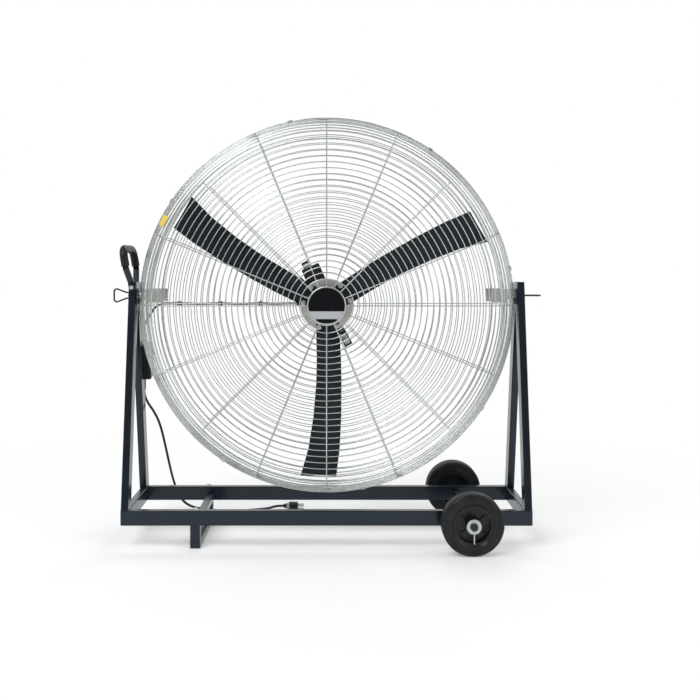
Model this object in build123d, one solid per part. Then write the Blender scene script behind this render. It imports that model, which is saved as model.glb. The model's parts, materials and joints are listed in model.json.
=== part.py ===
from build123d import *
import os
from math import atan2, cos, degrees, hypot, pi, radians, sin, sqrt, tan

# Drum fan: a wire drum with a three-bladed rotor, pivoted between two A-shaped side frames
# on a base with one foot and two wheels. Millimetres; X to the right, Y to the back, Z up.
# The origin lies on the floor under the middle of the base. The blades blow towards -Y.

os.makedirs("parts", exist_ok=True)

# ---------------------------------------------------------------- driving dimensions
# Rectangular steel tube of the base and the legs
tube_tall = 38.0
tube_thin = 19.0
tube_wall = 1.6
plug_depth = 12.0            # plastic plugs in the open tube ends
running = 0.08               # radial clearance of bolts and of slow turning fits

# Base
base_length = 1044.0
base_depth = 270.0
base_clear = 58.5            # floor to the underside of the base tubes

# A-shaped side frames and the tilt pivot
pivot_z = 638.0
leg_over_pivot = 36.0        # from the pivots up to the flat top of the legs
apex_y = -12.0               # the pivots stand a little in front of the middle of the base
apex_half = 28.5             # from the pivot's plane to the outer face of a leg, at the top
pivot_drop = 25.0            # the drum's axis hangs this far below the pivots
stud_r = 6.0
pivot_plate_wide = 60.0
pivot_plate_below = 22.5
pivot_plate_above = 18.5
pivot_plate_thick = 3.0
pivot_plate_round = 4.0

# Loop knobs that clamp the tilt
knob_wire_r = 2.25
knob_boss_r = 9.0
knob_boss_long = 5.0
knob_thread_r = 4.0
knob_reach = 45.0            # from the leg to the middle of the loop's outer wire
knob_half_tall = 20.5
knob_flare = 2.0              # by which the loop opens in its first third
knob_bends = [12.0, 7.0, 7.0, 12.0]
knob_inside = 0.1             # from the loop's wire to the boss's edge
knob_gap = 0.3               # between the leg and the knob's boss
thread_over = 2.7            # the stud's thread stands out of the boss by this much

# Foot under the left end
foot_inset = 189.0           # from the end of the base to the middle of the foot
foot_wide = 25.0
foot_bar = 19.0
foot_round = 5.0
foot_bolt_r = 4.0
foot_bolt_head_r = 6.5
foot_bolt_head = 4.5
foot_bolt_deep = 22.0        # thread in the foot's posts
cross_shift = 6.0            # the cross member stands this far to the right of the foot
cross_wide = 19.0
cross_tall = 19.0

# Wheels on the right end
wheel_inset = 160.0
wheel_r = 77.5
wheel_offset = 48.0          # from the face of the base tube to the middle of the tyre
tyre_wide = 44.0
tyre_round = 9.0
tyre_lip = 7.0
tyre_bead = 2.0
rim_r = 48.8
rim_wide = 36.0
rim_band = 5.0
web_thick = 7.0
wheel_hub_r = 16.5
wheel_hub_long = 56.0
window_in_r = 20.5
window_out_r = 38.0
window_turn = 46.0           # degrees taken by one window
window_count = 5
window_narrow = 0.86         # the window's outer side against its inner one, in degrees
window_round = 2.5
window_floor = 2.0           # of the web's thickness left behind each window
axle_r = 9.5
axle_edge = 1.0
spacer_wall = 5.0
washer_r = 18.3
washer_thick = 2.0
washer_gap = 0.3
axle_over = 6.5              # axle past the outer washer
pin_r = 1.7
pin_gap = 0.2
pin_below = 41.0
pin_above = 12.5
pin_eye_r = 2.9
pin_eye_wire = 1.2

# Handle on the left side frame
handle_lean = 10.0           # degrees outboard
handle_bolt_drop = 16.0      # from the top of the legs down to the bolts
handle_kink = 59.0           # from the bolts up to the start of the grip
handle_top = 105.0           # from the bolts up to the middle of the top bar
handle_half = 62.0           # half of the spread between the two arms
strap_thick = 5.0
strap_wide = 16.0
strap_tab = 15.0             # flat end below and above the bolt
strap_clear = 0.4
strap_rise = 7.0             # upright end that meets the grip
grip_r = 10.5
grip_bend = 26.0
handle_bolt_r = 3.0
handle_bolt_deep = 5.0
handle_head_r = 5.5
handle_head = 4.0

# Drum of welded wire, in the drum's own frame: its axis is Y and its middle plane is y = 0
face_y = -74.0               # middle of the thin rings of the front face
ring_pitch = 16.0
ring_wire = 1.6              # radii of the wires
thick_wire = 3.0
spoke_wire = 1.75
rim_wire = 2.5
thin_flats = 8               # the face's wires have flat sides
thick_flats = 12
ring_seam = 5.0              # degrees from the first spoke to the seams of the face's rings
weld = 0.75                  # depth by which crossing wires melt into each other
badge_open = 16.5            # least gap from the badge to the front face's innermost spaced ring
motor_open = 16.0            # least gap from the motor to the rear face's innermost ring
spoke_over = 4.0             # the spokes' inner ends stand past the innermost ring
spoke_count = 16
rim_gap = 0.7                # between the rims and the pivot plates
rim_y = 4.4                  # from the middle plane to the middle of a rim
shoulder_in = 19.3           # from the rim in to the shoulder's bend
shoulder_y = 46.0
face_in = 42.8               # from the rim in to the thick ring
side_steps = 6
side_bend = 40.0
rim_bend = 12.0
rim_turn = 0.80              # share of the last run after which the long spokes turn to the rim
rim_in = 2.6                 # the spokes' ends stand this far inside the middle of the rim's wire
half_gap = 0.80              # from the spokes' ends to the middle plane
clip_count = 8
clip_wide = 12.0
clip_sheet = 1.2
clip_gap = 0.1
badge_r = 51.0
badge_ring_r = 47.0
badge_depth = 6.0
badge_wall = 3.7
badge_floor = 1.2
badge_gap = 0.2
badge_edge = 0.8

# Pivot brackets and studs
bracket_below = 17.5
bracket_above = 17.5
bracket_past_ring = 0.8
bracket_gap = 0.1
bracket_sheet = 3.0
bracket_flange = 44.0
collar_r = 10.0
collar_gap = 0.2
collar_end_gap = 0.3
stud_head_r = 11.0
stud_head = 7.0

# Blades and hub disc, in the drum's frame
disc_y = -11.0               # middle plane of the hub disc
hub_disc_r = 70.0
hub_disc = 4.0
hub_boss_r = 22.0
hub_boss = 11.0
blade_sheet = 2.4
blade_count = 3
blade_angle = 33.0           # of the first blade's root, from +X towards +Z
blade_root = 24.0            # from the axis to the blade's inner edge
blade_tip_gap = 2.0          # the blades end this far inside the thick ring
# share of the way from the hub disc's edge to the tip, width across, pitch and sweep in
# degrees, camber
blade_sections = [
    (0.000, 62.0, 0.0, -0.5, 0.0),
    (0.183, 64.0, 26.0, -0.7, 3.0),
    (0.353, 66.5, 24.0, -1.4, 3.6),
    (0.592, 73.5, 21.0, -2.7, 4.2),
    (0.812, 83.0, 18.5, -4.1, 4.6),
    (1.000, 95.0, 16.5, -5.8, 5.0),
]
blade_root_wide = 56.0
blade_bolt_away = 58.0
blade_bolt_side = 23.4
blade_bolt_r = 3.0
blade_head_r = 5.5
blade_head = 4.0

# Motor, in the drum's frame
shaft_r = 8.0
shaft_gap = 0.05
shaft_front = -20.0
shaft_rear = 104.0
motor_r = 67.0
motor_front = 18.0
motor_rear = 92.0
shield_front = 6.0
shield_rear = 112.0
shield_r = 50.0
bore_gap = 0.4
terminal_angle = 114.0       # terminal box on the motor's upper left
terminal_wide = 50.0
terminal_reach = 112.0
terminal_front = 14.0
terminal_rear = 62.0
terminal_gap = 0.05
terminal_round = 4.0
mount_angle = 118.0          # hat-shaped strap that carries the motor on the rear face
mount_wide = 22.0
mount_sheet = 4.0
mount_in = 26.0              # the strap's feet reach this far in and out from their bolts
mount_out = 20.0
mount_past = 3.0             # from the motor's side to the strap's crown
mount_gap = 0.1
mount_bolt_r = 3.0
mount_head_r = 5.0
mount_head = 4.0
motor_bolt_place = 32.0
motor_bolt_deep = 9.0
clamp_long = 28.0
clamp_wide = 14.0
clamp_sheet = 3.0
clamp_in = 2                 # the clamp plates bridge this ring, counted from the opening, and the next

# Switch box behind the rear left leg
switch_x_shift = 2.0
switch_z = 450.0
switch_wide = 51.0
switch_long = 96.0
switch_deep = 43.0
switch_wall = 2.5
switch_round = 4.0
switch_post = 7.0
cover_thick = 2.5
switch_knob_r = 15.0
switch_knob_deep = 14.0
switch_knob_gap = 0.3
switch_knob_edge = 1.5
flute_count = 12
flute_r = 1.6
flute_out = 0.8              # the flutes' axes stand this far outside the knob
flute_from = 3.0             # plain skirt behind the flutes
mark_wide = 1.8              # groove that marks the knob's direction
mark_deep = 0.8
mark_from = 4.0
switch_shaft_r = 3.0
mechanism_wide = 28.0
mechanism_deep = 20.0
screw_r = 1.8
screw_head_r = 3.4
screw_head = 1.8
screw_deep = 12.0

# Cables
lead_r = 3.5
lead_ring_gap = 0.3          # between the lead and the thick ring
gland_nut_r = 8.0
gland_nut = 5.0
gland_tip_r = 5.2
gland_shoulder = 1.4         # from the nut's edge in to the cone's foot
gland_long = 16.0
relief_long = 37.0
clip_half = 6.0
clip_over = 2.0
lead_clip_gap = 0.4
plug_r = 12.5
plug_long = 42.0
plug_neck = 1.6              # of plastic around the cord where it enters
plug_steps = [(0.35, 0.75), (0.5, 1.0), (1.0, 1.0)]     # shares of the plug's length and radius
prong_long = 18.0
prong_thick = 1.5
prong_tall = 6.4
prong_apart = 12.7
earth_r = 2.4
prong_rise = 2.0             # the prongs stand this far above the plug's middle

# Plain tag over the drum's side wires
tag_angle = 152.6
tag_long = 30.0
tag_in = 9.0                 # from the shoulder's bend towards the front face
tag_out = 33.0               # and towards the rim
tag_thick = 0.8
tag_gap = 0.2

# ---------------------------------------------------------------- derived places
half_x = base_length / 2
half_y = base_depth / 2
inner_x = half_x - tube_thin
tube_in = half_y - tube_thin
base_top = base_clear + tube_tall
leg_top_z = pivot_z + leg_over_pivot
leg_mid_x = half_x - tube_thin / 2
handle_bolt_z = leg_top_z - handle_bolt_drop
foot_x = foot_inset - half_x
wheel_x = half_x - wheel_inset
axle_z = wheel_r
hub_out = half_y + wheel_offset + wheel_hub_long / 2
hub_in = half_y + wheel_offset - wheel_hub_long / 2
washer_out = hub_out + washer_gap + washer_thick
pin_y = washer_out + pin_gap + pin_r
axle_end = washer_out + axle_over

rim_ring_r = inner_x - pivot_plate_thick - rim_gap - rim_wire
face_r = rim_ring_r - face_in
shoulder = [(face_r, face_y), (rim_ring_r - shoulder_in, -shoulder_y), (rim_ring_r, -rim_y)]
spoke_y = face_y + ring_wire + spoke_wire - weld
thick_y = spoke_y - spoke_wire - thick_wire + weld
spoke_end = face_r - thick_wire - 0.2
front_rings = int((face_r - badge_r - badge_open) / ring_pitch)
rear_rings = int((face_r - motor_r - motor_open) / ring_pitch)
ring_bolt = face_r - ring_pitch * (rear_rings - clamp_in + 0.5)
blade_front = disc_y - hub_disc / 2 - blade_sheet
blade_tip = face_r - blade_tip_gap
rear_face = -face_y + ring_wire
drum_z = pivot_z - pivot_drop
drum = Pos(0, apex_y, drum_z)


# ---------------------------------------------------------------- helpers
def save(name, *solids):
    """Write one node: a single solid, or a group of separate ones."""
    shape = solids[0] if len(solids) == 1 else Compound(children=list(solids))
    export_step(shape, f"parts/{name}.step")


def along_y(radius, start, end):
    """Round bar along Y."""
    return Pos(0, (start + end) / 2, 0) * Rot(90, 0, 0) * Cylinder(radius, abs(end - start))


def along_x(radius, start, end):
    """Round bar along X."""
    return Pos((start + end) / 2, 0, 0) * Rot(0, 90, 0) * Cylinder(radius, abs(end - start))


def block(x, y, z):
    """Box between pairs of coordinates, in either order."""
    size = [abs(b - a) for a, b in (x, y, z)]
    middle = [(a + b) / 2 for a, b in (x, y, z)]
    return Pos(*middle) * Box(*size)


def hollow_bar(x, y, z, axis):
    """Rectangular tube between pairs of coordinates, open at both ends of one axis."""
    spans = [sorted(span) for span in (x, y, z)]
    inside = [(a, b) if i == axis else (a + tube_wall, b - tube_wall) for i, (a, b) in enumerate(spans)]
    return block(*spans) - block(*inside)


def offset_line(points, gap):
    """A bent line moved to its left by a gap, with mitred corners."""
    moved = []
    for i, (x, y) in enumerate(points):
        near = points[max(i - 1, 0):i + 2]
        turns = [atan2(b[1] - a[1], b[0] - a[0]) for a, b in zip(near, near[1:])]
        middle = (turns[0] + turns[-1]) / 2
        reach = gap / cos((turns[-1] - turns[0]) / 2)
        moved.append((x - reach * sin(middle), y + reach * cos(middle)))
    return moved


def strip(points, thick):
    """Outline of a thin strip along a bent line."""
    left = offset_line(points, thick / 2)
    right = offset_line(points, -thick / 2)
    return Polygon(*left, *reversed(right), align=None)


def bar_along(path, radius):
    """Round bar swept along a path."""
    return sweep(Plane(origin=path @ 0, z_dir=path % 0) * Circle(radius), path=path)


def route(points):
    """Path of straight runs joined by arcs as large as the runs allow, and the arcs' radii."""
    radii = []
    for before, here, after in zip(points, points[1:], points[2:]):
        one = Vector(*here) - Vector(*before)
        two = Vector(*after) - Vector(*here)
        turn = radians(one.get_angle(two))
        radii.append(0.45 * min(one.length, two.length) / tan(turn / 2))
    return FilletPolyline(*points, radius=radii), radii


def cable(name, points):
    """Round cable along chosen points; prints its length and bends and checks its volume."""
    path, radii = route(points)
    solid = bar_along(path, lead_r)
    section = pi * lead_r**2
    print(name, "length", round(path.length, 1), "radii", [round(r) for r in radii])
    print(name, "volume over section times length", round(solid.volume / (section * path.length), 4))
    save(name, solid)


# ---------------------------------------------------------------- base
def base_tubes():
    """Front and rear tubes, with holes for the axle and the foot's bolts."""
    for name, side in (("front", -1), ("rear", 1)):
        y = (side * half_y, side * tube_in)
        tube = hollow_bar((-half_x, half_x), y, (base_clear, base_top), 0)
        tube -= Pos(wheel_x, 0, axle_z) * along_y(axle_r + running, *y)
        middle = Pos(foot_x, side * (half_y + tube_in) / 2, base_clear)
        save(f"base_{name}_tube", tube - middle * Cylinder(foot_bolt_r + running, 3 * tube_tall))


def side_tubes():
    """The two short tubes that close the base at its ends."""
    height = (base_clear, base_top)
    tubes = [hollow_bar((s * half_x, s * inner_x), (-tube_in, tube_in), height, 1) for s in (-1, 1)]
    save("base_side_tubes", *tubes)


def tube_plugs():
    """Plastic plugs in the four open ends of the long tubes."""
    height = (base_clear + tube_wall, base_top - tube_wall)
    plugs = []
    for side in (-1, 1):
        for end in (-1, 1):
            y = (side * (half_y - tube_wall), side * (tube_in + tube_wall))
            plugs.append(block((end * half_x, end * (half_x - plug_depth)), y, height))
    save("tube_plugs", *plugs)


def foot():
    """Bent bar foot: two posts under the tubes joined by a bar on the floor."""
    x = (foot_x - foot_wide / 2, foot_x + foot_wide / 2)
    whole = block(x, (-half_y, half_y), (0, base_clear))
    whole -= block(x, (foot_bar - half_y, half_y - foot_bar), (foot_bar, base_clear))
    whole = fillet(whole.edges().filter_by(Axis.X).group_by(Axis.Z)[0], foot_round)
    low = base_clear - foot_bolt_deep
    bolts = []
    for side in (-1, 1):
        at = Pos(foot_x, side * (half_y + tube_in) / 2, 0)
        shank = Pos(0, 0, (low + base_top) / 2) * Cylinder(foot_bolt_r, base_top - low)
        head = Pos(0, 0, base_top + foot_bolt_head / 2) * Cylinder(foot_bolt_head_r, foot_bolt_head)
        bolts.append(at * (shank + chamfer(head.edges().group_by(Axis.Z)[-1], foot_bolt_head / 4)))
        whole -= at * Pos(0, 0, low + foot_bolt_deep / 2) * Cylinder(foot_bolt_r, foot_bolt_deep)
    save("foot", whole)
    save("foot_bolts", *bolts)


def cross_member():
    """Square tube between the two long tubes, above the foot."""
    middle = foot_x + cross_shift
    x = (middle - cross_wide / 2, middle + cross_wide / 2)
    save("cross_member", hollow_bar(x, (-tube_in, tube_in), (base_clear, base_clear + cross_tall), 1))


# ---------------------------------------------------------------- side frames
def leg_face(side, z):
    """Y of a leg's outer face at a height; side is -1 in front."""
    foot_y, top_y = side * half_y, apex_y + side * apex_half
    return foot_y + (top_y - foot_y) * (z - base_top) / (leg_top_z - base_top)


def leg_lean(side):
    """Degrees by which a leg leans towards the pivot's plane."""
    return degrees(atan2(side * (leg_face(side, base_top) - leg_face(side, leg_top_z)),
                         leg_top_z - base_top))


def leg_outline(side, inset):
    """Side view of one leg, cut level at its ends and mitred on the pivot's plane."""
    along = cos(radians(leg_lean(side)))
    near, far = side * inset / along, side * (tube_tall - inset) / along
    low, high = base_top - tube_tall, leg_top_z + tube_tall
    bottom, top = leg_face(side, low), leg_face(side, high)
    bar = Polygon((bottom - near, low), (bottom - far, low), (top - far, high), (top - near, high),
                  align=None)
    reach, lid = apex_y + side * base_depth, leg_top_z - inset
    return bar & Polygon((apex_y, base_top), (reach, base_top), (reach, lid), (apex_y, lid), align=None)


def leg(side, end):
    """One leg of rectangular tube; side is -1 in front, end is -1 on the left."""
    out = (end, 0, 0)
    solid = Pos(end * inner_x, 0, 0) * extrude(Plane.YZ * leg_outline(side, 0), amount=tube_thin, dir=out)
    inside = Plane.YZ * leg_outline(side, tube_wall)
    room = extrude(inside, amount=tube_thin - 2 * tube_wall, dir=out)
    solid -= Pos(end * (inner_x + tube_wall), 0, 0) * room
    solid -= Pos(0, apex_y, pivot_z) * along_x(stud_r + running, end * (inner_x - 5), end * (half_x + 5))
    if end < 0:
        solid -= handle_bolt_frame(side) * along_y(handle_bolt_r, -side * 2 * tube_wall, side * tube_wall)
    return solid


def legs():
    """Two legs on each end of the base."""
    for end, hand in ((-1, "left"), (1, "right")):
        save(f"leg_front_{hand}", leg(-1, end))
        save(f"leg_rear_{hand}", leg(1, end))


def pivot_plates():
    """Plates on the inner faces of the legs that hold each pair together at the pivot."""
    plates = []
    for end in (-1, 1):
        x = (end * inner_x, end * (inner_x - pivot_plate_thick))
        y = (apex_y - pivot_plate_wide / 2, apex_y + pivot_plate_wide / 2)
        plate = block(x, y, (pivot_z - pivot_plate_below, pivot_z + pivot_plate_above))
        plate = fillet(plate.edges().filter_by(Axis.X), pivot_plate_round)
        hole = along_x(stud_r + running, end * (inner_x - 2 * pivot_plate_thick), end * half_x)
        plates.append(plate - Pos(0, apex_y, pivot_z) * hole)
    save("pivot_plates", *plates)


# ---------------------------------------------------------------- handle
def handle_bolt_frame(side):
    """Place on a left leg's outer face at the handle's bolt, its Y square to the face."""
    return Pos(-leg_mid_x, leg_face(side, handle_bolt_z), handle_bolt_z) * Rot(side * leg_lean(side), 0, 0)


def handle():
    """Two flat straps bolted to the front and rear legs, and the bent grip that joins them."""
    at = Pos(-leg_mid_x, 0, handle_bolt_z) * Rot(0, -handle_lean, 0)
    straps, bolts, ends = [], [], []
    for side in (-1, 1):
        lean = radians(leg_lean(side))
        face = leg_face(side, handle_bolt_z) + side * (strap_clear + strap_thick / 2) / cos(lean)
        slide = strap_tab * tan(lean)
        knee = apex_y + side * handle_half
        line = [(face + side * slide, -strap_tab), (face - side * slide, strap_tab),
                (knee, handle_kink - strap_rise), (knee, handle_kink)]
        strap = at * extrude(Plane.YZ * strip(line, strap_thick), amount=strap_wide / 2, both=True)
        bolt_at = handle_bolt_frame(side)
        seat = side * (strap_clear + strap_thick + strap_clear / 2)
        hole = along_y(handle_bolt_r + running, -side * strap_tab, side * strap_tab)
        straps.append(strap - bolt_at * hole)
        bolt = along_y(handle_bolt_r, -side * handle_bolt_deep, seat + side * handle_head / 2)
        bolts.append(bolt_at * (bolt + along_y(handle_head_r, seat, seat + side * handle_head)))
        ends.append(knee)
    points = [(0, ends[0], handle_kink), (0, ends[0], handle_top),
              (0, ends[1], handle_top), (0, ends[1], handle_kink)]
    save("handle_straps", *straps)
    save("handle_grip", at * bar_along(FilletPolyline(*points, radius=grip_bend), grip_r))
    save("handle_bolts", *bolts)


# ---------------------------------------------------------------- tilt knobs and pivots
def knob():
    """Loop of bent rod on a round boss, along +X, loop upright, the leg's face at x = 0."""
    near = knob_boss_r - knob_wire_r - knob_inside
    start = knob_gap + knob_boss_long / 4
    upper = [(start, 0, near), (knob_reach / 3, 0, near + knob_flare), (knob_reach, 0, knob_half_tall)]
    lower = [(x, 0, -z) for x, _, z in reversed(upper)]
    loop = bar_along(FilletPolyline(*upper, *lower, radius=knob_bends), knob_wire_r)
    boss = along_x(knob_boss_r, knob_gap, knob_gap + knob_boss_long)
    return boss + loop - along_x(knob_thread_r + running, 0, knob_gap + knob_boss_long + thread_over)


def knobs():
    """The left knob stands upright, the right one lies level."""
    save("tilt_knob_left", Pos(-half_x, apex_y, pivot_z) * Rot(0, 0, 180) * knob())
    save("tilt_knob_right", Pos(half_x, apex_y, pivot_z) * Rot(90, 0, 0) * knob())


def side_ring(step):
    """Radius and y of one of the side rings, counted from the thick ring."""
    runs = [hypot(b[0] - a[0], b[1] - a[1]) for a, b in zip(shoulder, shoulder[1:])]
    along = sum(runs) * step / side_steps
    first = along <= runs[0]
    (r1, y1), (r2, y2) = shoulder[:2] if first else shoulder[1:]
    share = along / runs[0] if first else (along - runs[0]) / runs[1]
    return r1 + (r2 - r1) * share, y1 + (y2 - y1) * share


def bracket_sizes():
    """Half depth of the pivot brackets, and X of their faces against the side rings."""
    radius, y = side_ring(side_steps // 2)
    reach = radius - ring_wire - bracket_gap
    return -y + bracket_past_ring, sqrt(reach**2 - (pivot_drop + bracket_above)**2)


def pivot_brackets():
    """Channels inside the drum, open towards its axis, that carry the pivot studs."""
    half, face = bracket_sizes()
    z = (pivot_z - bracket_below, pivot_z + bracket_above)
    brackets = []
    for end in (-1, 1):
        channel = block((end * face, end * (face - bracket_flange)), (-half, half), z)
        inside = (end * (face - bracket_sheet), end * (face - 2 * bracket_flange))
        channel -= block(inside, (bracket_sheet - half, half - bracket_sheet), (z[0] - 1, z[1] + 1))
        hole = Pos(0, 0, pivot_z) * along_x(stud_r, end * face, end * (face - 2 * bracket_sheet))
        brackets.append(Pos(0, apex_y, 0) * (channel - hole))
    save("pivot_brackets", *brackets)


def pivot_studs():
    """Shouldered studs: head inside the bracket, collar between the wires, shank in the leg."""
    face = bracket_sizes()[1]
    seat = face - bracket_sheet
    plate = inner_x - pivot_plate_thick - collar_end_gap
    tip = half_x + knob_gap + knob_boss_long + thread_over
    studs = []
    for end in (-1, 1):
        stud = along_x(stud_r, end * seat, end * half_x)
        stud += along_x(stud_head_r, end * (seat - stud_head), end * seat)
        stud += along_x(collar_r, end * face, end * plate)
        stud += along_x(knob_thread_r, end * half_x, end * tip)
        studs.append(Pos(0, apex_y, pivot_z) * stud)
    save("pivot_studs", *studs)


# ---------------------------------------------------------------- drum of welded wire
def ring(radius, y, wire):
    """Round wire ring around the drum's axis."""
    return Pos(0, y, 0) * Rot(90, 0, 0) * Torus(radius, wire)


def flat_section(wire, flats):
    """Section of a flat-sided wire, as wide across its flats as the round wire."""
    half = 180 / flats
    return Rot(0, 0, half) * RegularPolygon(wire / cos(radians(half)), flats)


def flat_ring(radius, y, wire, flats):
    """Flat-sided wire ring around the drum's axis."""
    return turned(-ring_seam) * revolve(Pos(radius, y) * flat_section(wire, flats), Axis.Y)


def flat_bar(wire, start, end):
    """Flat-sided straight wire along X."""
    half = extrude(flat_section(wire, thin_flats), (end - start) / 2, both=True)
    return Pos((start + end) / 2, 0, 0) * Rot(0, 90, 0) * half


def thick_ring():
    """The thick ring that ends a face."""
    return flat_ring(face_r, thick_y, thick_wire, thick_flats)


def face_grille(rings, extra):
    """Flat face: one thick ring, thin rings inside it, and straight spokes behind them."""
    radii = [face_r - ring_pitch * (i + 1) for i in range(rings)] + extra
    wires = [flat_ring(r, face_y, ring_wire, thin_flats) for r in radii]
    for i in range(spoke_count):
        outer = spoke_end if long_spoke(i) else face_r
        bar = Pos(0, spoke_y, 0) * flat_bar(spoke_wire, min(radii) - spoke_over, outer)
        wires.append(turned(360 / spoke_count * i) * bar)
    return thick_ring().fuse(*wires)


def long_spoke(i):
    """Whether a spoke runs on over the shoulder to the rim."""
    return i % 2 == 1 or i % 4 == 0


def turned(angle):
    """Turn about the drum's axis, from +X towards +Z."""
    return Rot(0, -angle, 0)


def side_cage():
    """Side of the drum: rings down the shoulder, the rim, and the ends of the long spokes."""
    wires = [ring(*side_ring(i), ring_wire) for i in range(1, side_steps)]
    line = offset_line(shoulder, ring_wire + spoke_wire - weld)
    slope = (line[1][1] - line[0][1]) / (line[1][0] - line[0][0])
    knee = line[0][0] + (spoke_y - line[0][1]) / slope
    bend = tuple(a + (b - a) * rim_turn for a, b in zip(line[1], line[2]))
    points = [(spoke_end, spoke_y), (knee, spoke_y), line[1], bend, (rim_ring_r - rim_in, -half_gap)]
    path = FilletPolyline(*points, radius=[(knee - spoke_end) / 2, side_bend, rim_bend])
    bent = bar_along(path, spoke_wire)
    wires += [turned(360 / spoke_count * i) * bent for i in range(spoke_count) if long_spoke(i)]
    cage = ring(*shoulder[-1], rim_wire).fuse(*wires)
    cage -= thick_ring()
    for end in (-1, 1):
        hole = along_x(collar_r + collar_gap, end * (face_r - 10), end * half_x)
        cage -= Pos(0, 0, pivot_drop) * hole
    return cage


def guards():
    """Front and rear halves of the drum; the rear face is open around the motor."""
    side, back = side_cage(), Rot(0, 0, 180)
    save("front_guard", drum * face_grille(front_rings, [badge_ring_r]))
    save("front_guard_side", drum * side)
    save("rear_guard", drum * back * face_grille(rear_rings, []))
    save("rear_guard_side", drum * back * side)


def guard_clips():
    """Sheet clips around both rims."""
    reach, half = rim_wire + clip_gap, rim_y + rim_wire + clip_gap
    outer = block((rim_ring_r - reach - clip_sheet, rim_ring_r + reach + clip_sheet),
                  (-half - clip_sheet, half + clip_sheet), (-clip_wide / 2, clip_wide / 2))
    clip = outer - block((rim_ring_r - reach, rim_ring_r + reach), (-half, half), (-clip_wide, clip_wide))
    save("guard_clips", *[drum * turned(360 / clip_count * (i + 0.25)) * clip for i in range(clip_count)])


def badge():
    """Round bezel in the middle of the front face, and the plain disc that it holds."""
    back = face_y - ring_wire - badge_gap
    front = back - badge_depth
    bezel = chamfer(along_y(badge_r, front, back).edges().group_by(Axis.Y)[0], badge_edge)
    bezel -= along_y(badge_r - badge_wall, front - 1, back - badge_floor)
    disc = along_y(badge_r - badge_wall - badge_gap, front + 1, back - badge_floor)
    save("badge_bezel", drum * bezel)
    save("badge_face", drum * disc)


def hang_tag():
    """Plain bent plate over the side wires at the upper left."""
    bend = shoulder[1]
    ends = []
    for other, reach in ((shoulder[0], tag_in), (shoulder[2], tag_out)):
        length = hypot(other[0] - bend[0], other[1] - bend[1])
        ends.append(tuple(b + (o - b) * reach / length for b, o in zip(bend, other)))
    line = offset_line([ends[0], bend, ends[1]], -ring_wire - tag_gap - tag_thick / 2)
    plate = extrude(strip(line, tag_thick), amount=tag_long / 2, both=True)
    save("hang_tag", drum * turned(tag_angle) * plate)


# ---------------------------------------------------------------- rotor
def blade_section(away, width, pitch, sweep_turn, camber):
    """Cross-section of a blade: a thin strip hollow to the front, pitched about its middle."""
    half, thick = width / cos(radians(pitch)) / 2, blade_sheet / 2
    if camber:
        front = ThreePointArc((-half, thick), (0, thick - camber), (half, thick))
        rear = ThreePointArc((half, -thick), (0, -thick - camber), (-half, -thick))
    else:
        front = Line((-half, thick), (half, thick))
        rear = Line((half, -thick), (-half, -thick))
    ends = [Line((half, thick), (half, -thick)), Line((-half, -thick), (-half, thick))]
    outline = make_face([front.edge(), ends[0].edge(), rear.edge(), ends[1].edge()])
    middle = (away, 0, away * tan(radians(sweep_turn)))
    return Plane(origin=middle, x_dir=(0, 0, 1), z_dir=(1, 0, 0)) * Rot(0, 0, pitch) * outline


def blade():
    """One pressed blade along +X, its root flat in front of the hub disc."""
    sections = [blade_section(blade_root, blade_root_wide, 0.0, 0.0, 0.0)]
    for share, *shape in blade_sections:
        sections.append(blade_section(hub_disc_r + share * (blade_tip - hub_disc_r), *shape))
    body = Pos(0, blade_front + blade_sheet / 2, 0) * loft(sections, ruled=True)
    for side in (-1, 1):
        hole = along_y(blade_bolt_r + running, blade_front - 5, blade_front + 5)
        body -= Pos(blade_bolt_away, 0, side * blade_bolt_side) * hole
    return body


def rotor():
    """Hub disc on the motor's shaft, three blades and their bolts."""
    rear = disc_y + hub_disc / 2
    disc = along_y(hub_disc_r, disc_y - hub_disc / 2, rear) + along_y(hub_boss_r, rear, rear + hub_boss)
    disc -= along_y(shaft_r, disc_y - hub_disc, rear + 2 * hub_boss)
    bolt = along_y(blade_bolt_r, blade_front, rear)
    bolt += along_y(blade_head_r, blade_front - blade_head, blade_front)
    bolt += along_y(blade_head_r, rear, rear + blade_head)
    one, bolts = blade(), []
    for i in range(blade_count):
        turn = turned(blade_angle + 360 / blade_count * i)
        for side in (-1, 1):
            place = turn * Pos(blade_bolt_away, 0, side * blade_bolt_side)
            disc -= place * along_y(blade_bolt_r + running, blade_front, rear + 1)
            bolts.append(drum * place * bolt)
        save(f"blade_{i + 1}", drum * turn * one)
    save("blade_hub", drum * disc)
    save("blade_bolts", *bolts)
    save("motor_shaft", drum * along_y(shaft_r, shaft_front, shaft_rear))


# ---------------------------------------------------------------- motor and its strap
def motor():
    """Round motor body between two end shields, bored for the shaft."""
    body = along_y(motor_r, motor_front, motor_rear)
    body -= along_y(shaft_r + bore_gap, motor_front - 1, motor_rear + 1)
    shields = []
    for tip, seat in ((shield_front, motor_front), (shield_rear, motor_rear)):
        profile = Polygon((0, tip), (shield_r, tip), (motor_r - 1, seat), (0, seat), align=None)
        shields.append(revolve(profile, Axis.Y))
    shields[0] -= along_y(shaft_r + shaft_gap, shield_front - 1, motor_front + 1)
    shields[1] -= along_y(shaft_r + shaft_gap, motor_rear - 1, shaft_rear + 1)
    for s in (-1, 1):
        place = turned(mount_angle) * Pos(s * motor_bolt_place, 0, 0)
        shields[1] -= place * along_y(mount_bolt_r, shield_rear - motor_bolt_deep, shield_rear + 1)
    save("motor_body", drum * body)
    save("motor_shields", *[drum * shield for shield in shields])


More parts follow.
